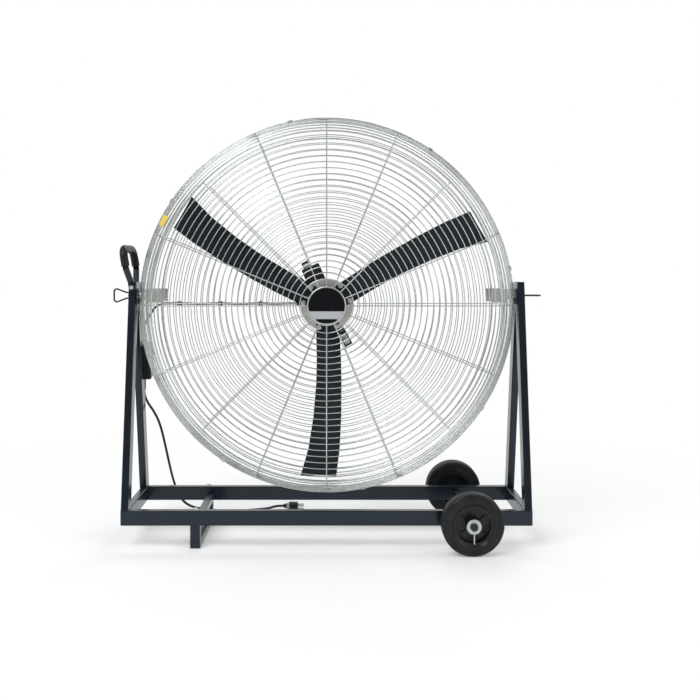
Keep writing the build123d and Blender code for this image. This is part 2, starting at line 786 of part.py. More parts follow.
def terminal_box():
    """Box on the motor's upper left, its foot curved to the motor."""
    body = block((motor_r - 6, terminal_reach), (terminal_front, terminal_rear),
                 (-terminal_wide / 2, terminal_wide / 2))
    body = fillet(body.edges().group_by(Axis.X)[-1], terminal_round)
    body -= along_y(motor_r + terminal_gap, terminal_front - 1, terminal_rear + 1)
    save("terminal_box", drum * turned(terminal_angle) * body)


def motor_mount():
    """Hat-shaped strap over the motor's rear end, clamped to the rings of the rear face."""
    turn = turned(mount_angle)
    foot = rear_face + mount_gap + mount_sheet / 2
    back = shield_rear + mount_sheet / 2
    crown_end, near, far = motor_r + mount_past, ring_bolt - mount_in, ring_bolt + mount_out
    line = [(-far, foot), (-near, foot), (-crown_end, back), (crown_end, back), (near, foot), (far, foot)]
    strap = extrude(strip(line, mount_sheet), amount=mount_wide / 2, both=True)
    inner = -face_y - ring_wire - mount_gap
    plate = block((-clamp_long / 2, clamp_long / 2), (inner - clamp_sheet, inner),
                  (-clamp_wide / 2, clamp_wide / 2))
    plate -= along_y(mount_bolt_r + running, inner - 2 * clamp_sheet, inner + 1)
    low, top, crown = inner - clamp_sheet, foot + mount_sheet / 2, back + mount_sheet / 2
    ring_screw = along_y(mount_bolt_r, low, top) + along_y(mount_head_r, top, top + mount_head)
    ring_screw += along_y(mount_head_r, low - mount_head, low)
    motor_screw = along_y(mount_bolt_r, shield_rear - motor_bolt_deep, crown)
    motor_screw += along_y(mount_head_r, crown, crown + mount_head)
    bolts, plates = [], []
    for s in (-1, 1):
        for place, screw in ((ring_bolt, ring_screw), (motor_bolt_place, motor_screw)):
            strap -= Pos(s * place, 0, 0) * along_y(mount_bolt_r + running, foot - 10, back + 10)
            bolts.append(drum * turn * Pos(s * place, 0, 0) * screw)
        plates.append(drum * turn * Pos(s * ring_bolt, 0, 0) * plate)
    save("motor_mount", drum * turn * strap)
    save("mount_bolts", *bolts)
    save("clamp_plates", *plates)


# ---------------------------------------------------------------- wheels
def tyre():
    """Solid tyre with a rounded tread, around Y."""
    half, inner = tyre_wide / 2, rim_r + running
    near = [(inner, -half + tyre_bead), (inner + tyre_lip, -half), (wheel_r - tyre_round, -half),
            (wheel_r, -half + tyre_round)]
    return revolve(Polygon(*near, *[(r, -y) for r, y in reversed(near)], align=None), Axis.Y)


def window():
    """One window of a wheel's web, along +X, sunk into the web's face towards -Y."""
    turn = radians(window_turn / 2)
    outer = turn * window_narrow
    corners = [(window_in_r, -turn), (window_out_r, -outer), (window_out_r, outer), (window_in_r, turn)]
    outline = Polygon(*[(r * cos(t), r * sin(t)) for r, t in corners], align=None)
    outline = fillet(outline.vertices(), window_round)
    floor = Pos(0, 0, window_floor - web_thick / 2)
    return Rot(90, 0, 0) * floor * extrude(outline, amount=2 * web_thick)


def rim():
    """Wheel rim: outer band, a web with sunk windows, and a long hub bored for the axle."""
    half = rim_wide / 2
    band = along_y(rim_r, -half, half) - along_y(rim_r - rim_band, -half - 1, half + 1)
    web = along_y(rim_r - rim_band / 2, -web_thick / 2, web_thick / 2)
    for i in range(window_count):
        web -= turned(90 + 360 / window_count * (i + 0.5)) * window()
    whole = band + web + along_y(wheel_hub_r, -wheel_hub_long / 2, wheel_hub_long / 2)
    return whole - along_y(axle_r + running, -wheel_hub_long, wheel_hub_long)


def collar_pair(outer, near, far):
    """Two rings on the axle, one on each side of the base."""
    at, rings = Pos(wheel_x, 0, axle_z), []
    for side in (-1, 1):
        solid = along_y(outer, side * near, side * far)
        rings.append(at * (solid - along_y(axle_r + running, side * (near - 1), side * (far + 1))))
    return rings


def wheels():
    """Two wheels on one axle through the base tubes, with spacers, washers and split pins."""
    at = Pos(wheel_x, 0, axle_z)
    rod = along_y(axle_r, -axle_end, axle_end)
    rod = chamfer(rod.edges().filter_by(GeomType.CIRCLE), axle_edge)
    shank = Pos(0, 0, (pin_above - pin_below) / 2) * Cylinder(pin_r, pin_above + pin_below)
    eye = Pos(0, 0, pin_above + pin_eye_r) * Rot(90, 0, 0) * Torus(pin_eye_r, pin_eye_wire)
    pins = []
    for side, name in ((-1, "front"), (1, "rear")):
        middle = Pos(wheel_x, side * (half_y + wheel_offset), axle_z)
        save(f"wheel_rim_{name}", middle * Rot(0, 0, 90 + 90 * side) * rim())
        save(f"wheel_tyre_{name}", middle * tyre())
        rod -= Pos(0, side * pin_y, 0) * Cylinder(pin_r, 4 * axle_r)
        pins.append(at * Pos(0, side * pin_y, 0) * (shank + eye))
    save("axle", at * rod)
    save("axle_spacers", *collar_pair(axle_r + spacer_wall, half_y, hub_in - washer_gap))
    save("axle_washers", *collar_pair(washer_r, hub_out + washer_gap, washer_out))
    save("split_pins", *pins)


# ---------------------------------------------------------------- switch box
switch_at = Pos(switch_x_shift - leg_mid_x, leg_face(1, switch_z), switch_z) * Rot(leg_lean(1), 0, 0)
switch_rear = switch_deep + cover_thick


def post_places():
    """The four corners of the switch box where the cover's screws go."""
    reach = [(switch_wide - switch_post) / 2 - 1, (switch_long - switch_post) / 2 - 1]
    return [Pos(x * reach[0], 0, z * reach[1]) for x in (-1, 1) for z in (-1, 1)]


def rounded_plate(start, end):
    """Block with the switch box's rounded outline, between two depths."""
    plate = block((-switch_wide / 2, switch_wide / 2), (start, end), (-switch_long / 2, switch_long / 2))
    return fillet(plate.edges().filter_by(Axis.Y), switch_round)


def switch_box():
    """Box on the rear face of the rear left leg, its cover and screws."""
    wide, tall = switch_wide / 2 - switch_wall, switch_long / 2 - switch_wall
    shell = rounded_plate(0.0, switch_deep)
    shell -= block((-wide, wide), (switch_wall, switch_deep + 1), (-tall, tall))
    cover = rounded_plate(switch_deep, switch_rear)
    cover -= along_y(switch_shaft_r + running, switch_deep - 1, switch_rear + 1)
    half, screws = switch_post / 2, []
    for post in post_places():
        shell += post * block((-half, half), (switch_wall / 2, switch_deep), (-half, half))
        shell -= post * along_y(screw_r, switch_deep - screw_deep, switch_deep + 1)
        cover -= post * along_y(screw_r + running, switch_deep - 1, switch_rear + 1)
        screw = along_y(screw_r, switch_deep - screw_deep, switch_rear)
        screw += along_y(screw_head_r, switch_rear, switch_rear + screw_head)
        screws.append(switch_at * post * screw)
    save("switch_box", switch_at * shell)
    save("switch_cover", switch_at * cover)
    save("cover_screws", *screws)


def switch_knob():
    """Fluted rotary knob on a shaft, and the switch behind the cover that it turns."""
    near = switch_rear + switch_knob_gap
    far = near + switch_knob_deep
    half = mechanism_wide / 2
    body = block((-half, half), (switch_deep - mechanism_deep, switch_deep), (-half, half))
    body -= along_y(switch_shaft_r + running, switch_deep - mechanism_deep / 2, switch_deep + 1)
    knob_body = along_y(switch_knob_r, near, far)
    knob_body = chamfer(knob_body.edges().group_by(Axis.Y)[-1], switch_knob_edge)
    for i in range(flute_count):
        flute = Pos(switch_knob_r + flute_out, 0, 0) * along_y(flute_r, near + flute_from, far + 1)
        knob_body -= turned(360 / flute_count * i) * flute
    mark = (far - mark_deep, far + 1)
    knob_body -= block((-mark_wide / 2, mark_wide / 2), mark, (mark_from, switch_knob_r + 1))
    knob_body += along_y(switch_shaft_r, switch_deep - mechanism_deep / 2 + 1, near + 1)
    save("switch_body", switch_at * body)
    save("switch_knob", switch_at * knob_body)


# ---------------------------------------------------------------- cables
def gland(length):
    """Tapered cable gland along +Z."""
    nut = Pos(0, 0, gland_nut / 2) * Cylinder(gland_nut_r, gland_nut)
    cone = Cone(gland_nut_r - gland_shoulder, gland_tip_r, length - gland_nut)
    return nut + Pos(0, 0, (length + gland_nut) / 2) * cone


def on_switch(along):
    """Point on the switch box's long middle line, measured up from its middle."""
    place = (switch_at * Pos(0, switch_deep / 2, along)).position
    return (place.X, place.Y, place.Z)


lead_in = switch_long / 2 + gland_long
cord_out = -switch_long / 2 - relief_long

# The motor's lead runs out along the rear face, a little slack between its clips.
lead_y = apex_y + spoke_y * -1 + spoke_wire + 2 * thick_wire - weld + lead_ring_gap + lead_r
clip_rings = (17, 10, 3)
lead_points = [
    (-(motor_r + gland_long), lead_y, drum_z),
    (-112.0, lead_y, drum_z),
    (-146.0, lead_y, drum_z - 1.6),
    (-182.0, lead_y, drum_z + 0.5),
    (-238.0, lead_y, drum_z - 1.8),
    (-294.0, lead_y, drum_z + 0.5),
    (-350.0, lead_y, drum_z - 1.8),
    (-400.0, lead_y, drum_z + 0.3),
    (-424.0, lead_y, drum_z),
    (-440.0, lead_y, drum_z),
]

# Its free loop from the drum to the switch box.
loop_points = [
    (-440.0, lead_y, drum_z),
    (-456.0, lead_y, drum_z),
    (-473.0, 74.0, 605.0),
    (-487.0, 78.0, 585.0),
    (-500.0, 75.0, 561.0),
    on_switch(lead_in + 22.0),
    on_switch(lead_in),
]

# The power cord: down from the switch box, then along the floor behind the base.
plug_at = (-128.0, 229.0, 12.5)
cord_points = [
    on_switch(cord_out),
    on_switch(cord_out - 25.0),
    (-481.0, 112.0, 303.0),
    (-468.0, 126.0, 263.0),
    (-458.0, 148.0, 198.0),
    (-451.0, 182.0, 130.0),
    (-443.0, 212.0, 74.0),
    (-426.0, 234.0, 25.0),
    (-394.0, 242.0, 3.6),
    (-350.0, 225.0, 3.6),
    (-304.0, 205.0, 3.6),
    (-256.0, 207.0, 3.6),
    (-206.0, 222.0, 3.6),
    (-172.0, 230.0, 4.6),
    (-148.0, 229.0, 12.5),
    plug_at,
]


def glands():
    """Glands where the cables enter the motor and the switch box."""
    body = Pos(1 - motor_r, lead_y - apex_y, 0) * Rot(0, -90, 0) * gland(gland_long + 1)
    save("motor_gland", drum * (body - along_y(motor_r, 0, 2 * motor_rear)))
    middle = switch_at * Pos(0, switch_deep / 2, 0)
    upper = middle * Pos(0, 0, switch_long / 2) * gland(gland_long)
    lower = middle * Pos(0, 0, -switch_long / 2) * Rot(180, 0, 0) * gland(relief_long)
    save("cable_glands", upper, lower)


def lead_clips():
    """Blocks on the rear face's rings that hold the motor's lead."""
    clips = []
    for number in clip_rings:
        x = ring_pitch * number - face_r
        clip = block((x - clip_half, x + clip_half),
                     (apex_y + rear_face, lead_y + lead_r + clip_over), (-clip_half, clip_half))
        clip -= Pos(0, lead_y, 0) * along_x(lead_r + lead_clip_gap, x - 2 * clip_half, x + 2 * clip_half)
        clips.append(Pos(0, 0, drum_z) * clip)
    save("lead_clips", *clips)


def plug():
    """Moulded plug on the floor, with two flat prongs and a round earth pin."""
    outline = [(0, lead_r + plug_neck)] + [(plug_long * x, plug_r * r) for x, r in plug_steps]
    body = revolve(Polygon((0, 0), *outline, (plug_long, 0), align=None), Axis.X)
    prong = (plug_long - 1, plug_long + prong_long)
    upright = (prong_rise - prong_tall / 2, prong_rise + prong_tall / 2)
    for side in (-1, 1):
        middle = side * prong_apart / 2
        body += block(prong, (middle - prong_thick / 2, middle + prong_thick / 2), upright)
    return Pos(*plug_at) * (body + Pos(0, 0, 2 * earth_r - plug_r) * along_x(earth_r, *prong))


base_tubes()
side_tubes()
tube_plugs()
foot()
cross_member()
legs()
pivot_plates()
handle()
knobs()
pivot_brackets()
pivot_studs()
guards()
guard_clips()
badge()
hang_tag()
rotor()
motor()
terminal_box()
motor_mount()
wheels()
switch_box()
switch_knob()
glands()
lead_clips()
save("plug", plug())
cable("motor_lead", lead_points)
cable("motor_lead_loop", loop_points)
cable("power_cord", cord_points)
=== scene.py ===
"""Drum fan between two A-shaped side frames, dressed for a studio picture.

The CAD model is the frame of it all: every piece here stands where its CAD node stands.
"""

import json
from math import cos, pi, radians, sin

import bmesh
import bpy
from bpy.props import FloatProperty, FloatVectorProperty, IntProperty, PointerProperty
from bpy.types import Operator, Panel, PropertyGroup
from mathutils import Matrix, Vector
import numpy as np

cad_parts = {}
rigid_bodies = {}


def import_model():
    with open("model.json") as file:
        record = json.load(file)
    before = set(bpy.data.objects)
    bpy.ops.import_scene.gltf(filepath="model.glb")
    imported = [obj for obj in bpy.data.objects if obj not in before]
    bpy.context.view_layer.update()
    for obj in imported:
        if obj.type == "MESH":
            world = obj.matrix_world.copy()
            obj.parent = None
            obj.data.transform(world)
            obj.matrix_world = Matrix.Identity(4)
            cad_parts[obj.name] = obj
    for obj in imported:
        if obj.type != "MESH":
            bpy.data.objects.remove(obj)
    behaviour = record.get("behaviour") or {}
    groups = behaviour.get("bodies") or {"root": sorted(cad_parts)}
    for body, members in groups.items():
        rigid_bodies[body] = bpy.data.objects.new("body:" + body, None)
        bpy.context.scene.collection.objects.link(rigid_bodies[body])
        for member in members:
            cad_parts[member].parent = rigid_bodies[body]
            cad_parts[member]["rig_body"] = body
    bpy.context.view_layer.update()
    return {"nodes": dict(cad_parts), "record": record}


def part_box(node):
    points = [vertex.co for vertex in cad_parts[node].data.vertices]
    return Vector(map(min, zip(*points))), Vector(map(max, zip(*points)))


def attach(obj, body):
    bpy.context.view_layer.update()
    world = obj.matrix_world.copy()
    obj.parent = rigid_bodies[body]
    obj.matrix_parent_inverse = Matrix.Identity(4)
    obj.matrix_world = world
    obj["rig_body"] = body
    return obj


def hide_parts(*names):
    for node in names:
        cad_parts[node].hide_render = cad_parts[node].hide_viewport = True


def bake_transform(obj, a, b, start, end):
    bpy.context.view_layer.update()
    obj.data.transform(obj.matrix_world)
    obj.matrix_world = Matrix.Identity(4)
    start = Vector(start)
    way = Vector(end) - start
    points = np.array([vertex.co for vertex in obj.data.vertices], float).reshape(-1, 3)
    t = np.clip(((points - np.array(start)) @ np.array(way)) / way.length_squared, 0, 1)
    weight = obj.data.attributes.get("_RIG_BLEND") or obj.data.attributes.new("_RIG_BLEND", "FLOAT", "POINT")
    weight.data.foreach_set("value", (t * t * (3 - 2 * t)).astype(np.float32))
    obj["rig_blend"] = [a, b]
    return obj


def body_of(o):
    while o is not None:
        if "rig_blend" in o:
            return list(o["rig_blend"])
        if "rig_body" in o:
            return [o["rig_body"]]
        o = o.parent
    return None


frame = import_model()
SLOTS = {part["node"]: part["material_slot"] for part in frame["record"]["subparts"]}

MERGE = 2e-6          # points of a mesh closer than this are one
FLAT_ANGLE = 0.6      # faces that meet at less than this, in degrees, lie in one plane
EDGE_ANGLE = 30       # outward edges sharper than this, in degrees, get rounded
BOLT_HEAD = 0.004     # height of a bolt's head with its washer
FOOT_BOLT_HEAD = 0.0045

# Shortest edges that get rounded, so that the small steps of a curve stay as they are.
TUBE_EDGE = 0.06
CASE_EDGE = 0.01
MOULDED_EDGE = 0.004
SHEET_EDGE = 0.002
RIM_EDGE = 0.0015
SMALL_EDGE = 0.0005

bl_info = {
    "name": "Drum fan",
    "version": (1, 0, 0),
    "blender": (4, 5, 0),
    "location": "View3D > Sidebar > Drum fan",
    "description": "Dresses the CAD model of a drum fan and lights it",
    "category": "Object",
}


# ---------------------------------------------------------------- sizes and colours
class FanSizes(PropertyGroup):
    """Sizes of the rounded edges and of the pieces that are modelled here."""
    tube_corner: FloatProperty(
        name="Tube corner", description="Rounding of the steel tubes' long corners",
        default=0.0024, min=0.0002, max=0.006, unit="LENGTH")
    casting_edge: FloatProperty(
        name="Moulded edge", description="Rounding of moulded and cast edges",
        default=0.0009, min=0.0001, max=0.003, unit="LENGTH")
    sheet_edge: FloatProperty(
        name="Sheet edge", description="Rounding of pressed sheet edges",
        default=0.0004, min=0.0001, max=0.001, unit="LENGTH")
    wire_draw: FloatProperty(
        name="Wire draw",
        description="What the wires of the drum's flat faces are drawn thinner by, on the radius",
        default=0.00045, min=0.0, max=0.0008, unit="LENGTH")
    tyre_shoulder: FloatProperty(
        name="Tyre shoulder", description="Radius between the tread and the side of a tyre",
        default=0.009, min=0.002, max=0.015, unit="LENGTH")
    tyre_groove: FloatProperty(
        name="Tread groove", description="Depth of the grooves round the tread",
        default=0.0012, min=0.0, max=0.003, unit="LENGTH")
    round_steps: IntProperty(
        name="Round steps", description="Steps of a turned piece round its axis",
        default=96, min=24, max=256)
    cord_diameter: FloatProperty(
        name="Cord diameter", description="Outside diameter of the cables",
        default=0.007, min=0.003, max=0.012, unit="LENGTH")


class FanColours(PropertyGroup):
    """Colours of the fan's finishes."""
    frame_coat: FloatVectorProperty(
        name="Frame", description="Powder coat of the tubes and brackets",
        default=(0.0028, 0.0075, 0.0135), subtype="COLOR", min=0.0, max=1.0)
    blade_coat: FloatVectorProperty(
        name="Blades", description="Paint of the blades",
        default=(0.0030, 0.0062, 0.0080), subtype="COLOR", min=0.0, max=1.0)
    motor_coat: FloatVectorProperty(
        name="Motor", description="Paint of the motor",
        default=(0.0060, 0.0085, 0.0100), subtype="COLOR", min=0.0, max=1.0)
    zinc: FloatVectorProperty(
        name="Zinc", description="Zinc plate of the bolts and washers",
        default=(0.58, 0.59, 0.58), subtype="COLOR", min=0.0, max=1.0)
    guard_zinc: FloatVectorProperty(
        name="Guard wire", description="Zinc plate of the drum's wires",
        default=(0.62, 0.66, 0.65), subtype="COLOR", min=0.0, max=1.0)
    moulding: FloatVectorProperty(
        name="Mouldings", description="Black plastic",
        default=(0.0045, 0.0055, 0.0070), subtype="COLOR", min=0.0, max=1.0)
    rubber: FloatVectorProperty(
        name="Rubber", description="Rubber of the tyres and the handle's grip",
        default=(0.0040, 0.0052, 0.0072), subtype="COLOR", min=0.0, max=1.0)
    badge_band: FloatVectorProperty(
        name="Badge band", description="Light band of the badge",
        default=(0.40, 0.41, 0.43), subtype="COLOR", min=0.0, max=1.0)
    tag: FloatVectorProperty(
        name="Tag", description="Plain tag on the side wires",
        default=(0.78, 0.58, 0.04), subtype="COLOR", min=0.0, max=1.0)


class FanStage(PropertyGroup):
    """Camera, lamps and floor."""
    lens: FloatProperty(
        name="Lens", description="Focal length in millimetres",
        default=46.7, min=10.0, max=200.0)
    camera_place: FloatVectorProperty(
        name="Camera", description="Place of the camera",
        default=(0.0115, -2.435, 0.7217), subtype="XYZ", unit="LENGTH")
    camera_shift: FloatVectorProperty(
        name="Shift", description="Shift of the lens, across and up",
        default=(0.0271, -0.1229), size=2)
    key_power: FloatProperty(
        name="Key lamp", description="Power of the large lamp above the front left, in watts",
        default=60.0, min=0.0, max=1000.0)
    fill_power: FloatProperty(
        name="Fill lamp", description="Power of the lamp on the right, in watts",
        default=18.0, min=0.0, max=1000.0)
    back_power: FloatProperty(
        name="Back lamp", description="Power of the lamp above the back, in watts",
        default=30.0, min=0.0, max=1000.0)
    dome: FloatProperty(
        name="Dome", description="Strength of the even light from all sides",
        default=0.55, min=0.0, max=2.0)


# ---------------------------------------------------------------- shader maths
class Value:
    """A socket's value in a node tree. Arithmetic on it adds Math nodes."""

    def __init__(self, finish, socket):
        self.finish, self.socket = finish, socket

    def math(self, operation, other=None, reflected=False):
        pair = (other, self) if reflected else (self, other)
        return self.finish.node("ShaderNodeMath", {"operation": operation},
                                {0: pair[0], 1: pair[1]})

    def __add__(self, other):
        return self.math("ADD", other)

    def __sub__(self, other):
        return self.math("SUBTRACT", other)

    def __mul__(self, other):
        return self.math("MULTIPLY", other)

    def __radd__(self, other):
        return self.math("ADD", other, reflected=True)

    def __rsub__(self, other):
        return self.math("SUBTRACT", other, reflected=True)

    def over(self, limit, soft):
        """0 below the limit and 1 above it, over a soft step."""
        return self.finish.node("ShaderNodeMapRange", {"clamp": True}, {
            "Value": self, "From Min": limit - soft / 2, "From Max": limit + soft / 2})


class Finish:
    """A material: one Principled shader and the nodes that feed it."""

    def __init__(self, name, **constants):
        self.material = bpy.data.materials.new(name)
        self.material.use_nodes = True
        self.tree = self.material.node_tree
        self.shader = self.tree.nodes["Principled BSDF"]
        for socket, value in constants.items():
            self.shader.inputs[socket.replace("_", " ")].default_value = value
        self.place = self.node("ShaderNodeTexCoord", output="Object")

    def node(self, kind, settings=None, inputs=None, output=0):
        """Any node: its settings first, then the values or links of its sockets."""
        new = self.tree.nodes.new(kind)
        for key, value in (settings or {}).items():
            setattr(new, key, value)
        for key, value in (inputs or {}).items():
            if isinstance(value, Value):
                self.tree.links.new(value.socket, new.inputs[key])
            elif value is not None:
                new.inputs[key].default_value = value
        return Value(self, new.outputs[output])

    def grain(self, size, detail):
        """Soft noise from 0 to 1, its blotches about size metres across."""
        return self.node("ShaderNodeTexNoise", {"noise_dimensions": "3D"}, {
            "Vector": self.place, "Scale": 1 / size, "Detail": detail})

    def axis(self, name, vector=None):
        """One coordinate, in metres."""
        return self.node("ShaderNodeSeparateXYZ", None, {"Vector": vector or self.place}, name)

    def mix(self, share, first, second):
        """Colour between two colours."""
        first, second = (c if isinstance(c, Value) else (*c, 1.0) for c in (first, second))
        return self.node("ShaderNodeMix", {"data_type": "RGBA"},
                         {0: share, 6: first, 7: second}, output=2)

    def shift(self, centre):
        """Place measured from a centre."""
        return self.node("ShaderNodeVectorMath", {"operation": "SUBTRACT"},
                         {0: self.place, 1: centre})

    def relief(self, height, depth, strength):
        """Bump of a height from 0 to 1, depth metres deep."""
        return self.node("ShaderNodeBump", None,
                         {"Strength": strength, "Distance": depth, "Height": height})

    def feed(self, **sockets):
        """Gives the shader's sockets their links or values and returns the material."""
        for name, value in sockets.items():
            socket = self.shader.inputs[name.replace("_", " ")]
            if isinstance(value, Value):
                self.tree.links.new(value.socket, socket)
            else:
                socket.default_value = value
        return self.material


def lighter(colour, share):
    """Colour moved towards white by a share."""
    return tuple(c + (1 - c) * share for c in colour)


def darker(colour, share):
    """Colour moved towards black by a share."""
    return tuple(c * (1 - share) for c in colour)


# ---------------------------------------------------------------- finishes
DUST = (0.36, 0.36, 0.35)
SPECK = (0.20, 0.20, 0.20)
COOL_SHEEN = (0.70, 0.88, 1.0, 1.0)


def powder_coat(name, colour, rough, gloss):
    """Powder coat: fine orange peel, faint handling marks, a little dust on top."""
    made = Finish(name, Specular_IOR_Level=0.34, Specular_Tint=COOL_SHEEN, Coat_Weight=gloss,
                  Coat_Roughness=0.12)
    peel = made.grain(0.0018, 1.0)
    marks = made.grain(0.045, 5.0)
    faces_up = made.axis("Z", made.node("ShaderNodeTexCoord", output="Normal"))
    dust = faces_up.over(0.75, 0.5) * made.grain(0.006, 4.0)
    specks = made.grain(0.0012, 3.0).over(0.77, 0.03) * marks.over(0.55, 0.2)
    base = made.mix(marks, darker(colour, 0.2), lighter(colour, 0.004))
    base = made.mix(dust * 0.07, base, DUST)
    base = made.mix(specks * 0.5, base, SPECK)
    return made.feed(Base_Color=base, Roughness=rough - 0.05 + marks * 0.10 + dust * 0.12,
                     Normal=made.relief(peel, 0.00006, 0.5))


def plated(name, colour, rough=0.30):
    """Bright zinc plate: cloudy, stained a faint yellow-green in places, finely rough."""
    made = Finish(name)
    cloud = made.grain(0.014, 3.0)
    fine = made.grain(0.0009, 2.0)
    stain = made.grain(0.05, 4.0).over(0.55, 0.25)
    base = made.mix(cloud, darker(colour, 0.14), lighter(colour, 0.10))
    base = made.mix(stain * 0.35, base, (0.50, 0.52, 0.42))
    return made.feed(Base_Color=base, Metallic=0.95, Roughness=rough + cloud * 0.12,
                     Normal=made.relief(fine, 0.00003, 0.4))


def moulded(name, colour, rough=0.48, grain=0.0007):
    """Moulded plastic with a fine spark-eroded grain and slightly worn high spots."""
    made = Finish(name, Specular_IOR_Level=0.2, Coat_Weight=0.4, Coat_Roughness=0.2)
    skin = made.grain(grain, 2.0)
    wear = made.grain(0.02, 4.0)
    base = made.mix(wear.over(0.58, 0.3) * 0.5, colour, lighter(colour, 0.015))
    return made.feed(Base_Color=base, Roughness=rough - 0.06 + wear * 0.12,
                     Normal=made.relief(skin, 0.00005, 0.6))


RING_PITCH = 0.0042


def rubbery(name, colour, centre=None):
    """Rubber: soft skin, grey bloom, and moulding rings round an axle where there is one."""
    made = Finish(name, Specular_IOR_Level=0.15, Coat_Weight=0.26, Coat_Roughness=0.16)
    skin = made.grain(0.0011, 3.0)
    bloom = made.grain(0.03, 5.0)
    height = skin * 0.5
    if centre:
        away = made.shift(centre)
        x, z = made.axis("X", away), made.axis("Z", away)
        radius = (x * x + z * z).math("SQRT")
        rings = (radius * (2 * pi / RING_PITCH)).math("SINE")
        height = height + rings * 0.35
    base = made.mix(bloom.over(0.5, 0.4) * 0.6, colour, lighter(colour, 0.02))
    return made.feed(Base_Color=base, Roughness=0.60 + bloom * 0.16,
                     Normal=made.relief(height, 0.00012, 0.5))


BAND_TOP = -0.0137
FIELD_TOP = -0.0335
FIELD_HEIGHT = 0.0113
FIELD_HALF_WIDTH = 0.028
PRINT_EDGE = 0.0004


def badge_paint(name, colour, band, hub):
    """Black disc, light from the band's top down but for a dark field like half a lens."""
    made = Finish(name, Coat_Roughness=0.06, Specular_IOR_Level=0.06)
    away = made.shift(hub)
    x, z = made.axis("X", away), made.axis("Z", away)
    light = 1 - z.over(BAND_TOP, PRINT_EDGE)
    drop = (z - FIELD_TOP) * (1 / FIELD_HEIGHT)
    wide = x * (1 / FIELD_HALF_WIDTH)
    under = 1 - z.over(FIELD_TOP, PRINT_EDGE)
    field = (1 - (drop * drop + wide * wide).over(1.0, 0.05)) * under
    share = light * (1 - field)
    orange = made.grain(0.0022, 1.0)
    dull = made.grain(0.012, 4.0)
    base = made.mix(share, darker(colour, 0.2), band)
    base = made.mix(dull * 0.012, base, (0.30, 0.30, 0.30))
    return made.feed(Base_Color=base, Roughness=0.22 + dull * 0.12,
                     Coat_Weight=0.01 + dull * 0.05,
                     Normal=made.relief(orange, 0.00003, 0.4))


def tag_card(name, colour):
    """Plain laminated card, a little soiled."""
    made = Finish(name)
    soil = made.grain(0.008, 5.0)
    fibre = made.grain(0.0006, 2.0)
    base = made.mix(soil.over(0.55, 0.4) * 0.35, colour, darker(colour, 0.55))
    return made.feed(Base_Color=base, Roughness=0.40 + soil * 0.2,
                     Normal=made.relief(fibre, 0.00003, 0.5))


def clear_plastic(name):
    """Clear moulded band of the plug, its inside dark and streaked."""
    made = Finish(name, Transmission_Weight=0.45, IOR=1.5)
    streak = made.grain(0.004, 4.0)
    base = made.mix(streak, (0.42, 0.44, 0.45), (0.80, 0.82, 0.83))
    return made.feed(Base_Color=base, Roughness=0.14 + streak * 0.12,
                     Normal=made.relief(streak, 0.0001, 0.3))


WHEEL_CENTRE = (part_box("axle")[0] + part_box("axle")[1]) / 2
HUB_CENTRE = (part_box("badge_face")[0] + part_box("badge_face")[1]) / 2


def finish_for(slot):
    """The finish of one of the record's slots, made the first time it is asked for."""
    name = slot + "_finish"
    if name in bpy.data.materials:
        return bpy.data.materials[name]
    colours = bpy.context.scene.fan_colours
    makers = {
        "frame_paint": lambda: powder_coat(name, colours.frame_coat, 0.26, 0.3),
        "blade_paint": lambda: powder_coat(name, colours.blade_coat, 0.38, 0.0),
        "motor_paint": lambda: powder_coat(name, colours.motor_coat, 0.42, 0.1),
        "zinc_steel": lambda: plated(name, colours.zinc),
        "guard_wire": lambda: plated(name, colours.guard_zinc, 0.18),
        "black_plastic": lambda: moulded(name, colours.moulding),
        "knob_plastic": lambda: moulded(name, colours.moulding, 0.38, 0.0012),
        "cord_sheath": lambda: moulded(name, colours.moulding, 0.44, 0.0016),
        "black_rubber": lambda: rubbery(name, colours.rubber),
        "tyre": lambda: rubbery(name, colours.rubber, tuple(WHEEL_CENTRE)),
        "badge_face": lambda: badge_paint(name, colours.moulding, colours.badge_band,
                                          tuple(HUB_CENTRE)),
        "yellow_tag": lambda: tag_card(name, colours.tag),
        "plug_band": lambda: clear_plastic(name),
    }
    return makers[slot]()


# ---------------------------------------------------------------- modelling helpers
def choose(*objects):
    """Selects only these objects, the last one active."""
    if bpy.context.object and bpy.context.object.mode != "OBJECT":
        bpy.ops.object.mode_set(mode="OBJECT")
    bpy.ops.object.select_all(action="DESELECT")
    for one in objects:
        one.select_set(True)
    bpy.context.view_layer.objects.active = objects[-1]


def settle(piece):
    """Moves a piece's place into its mesh, so that its object sits at the origin."""
    choose(piece)
    bpy.ops.object.transform_apply(location=True, rotation=True, scale=True)


def smooth(piece, angle):
    """Shades a piece smooth, sharp where its faces meet at more than the angle in degrees."""
    choose(piece)
    bpy.ops.object.shade_smooth_by_angle(angle=radians(angle))


def apply_modifiers(piece):
    """Applies every modifier of a piece, in order."""
    choose(piece)
    for modifier in list(piece.modifiers):
        bpy.ops.object.modifier_apply(modifier=modifier.name)


def hand_in(piece, name, slot, body, *nodes):
    """Names a piece, gives it its finish and its body, and lets it stand for its CAD nodes."""
    piece.name = piece.data.name = name
    piece.data.materials.clear()
    piece.data.materials.append(finish_for(slot))
    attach(piece, body)
    if nodes:
        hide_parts(*nodes)
    return piece


def merged_copy(node):
    """Copy of a CAD node with its triangles joined and its flat faces whole."""
    source = frame["nodes"][node]
    copy = bpy.data.objects.new(node + "_skin", source.data.copy())
    bpy.context.scene.collection.objects.link(copy)
    choose(copy)
    bpy.ops.object.mode_set(mode="EDIT")
    bpy.ops.mesh.select_all(action="SELECT")
    bpy.ops.mesh.remove_doubles(threshold=MERGE)
    bpy.ops.mesh.customdata_custom_splitnormals_clear()
    bpy.ops.object.mode_set(mode="OBJECT")
    return copy


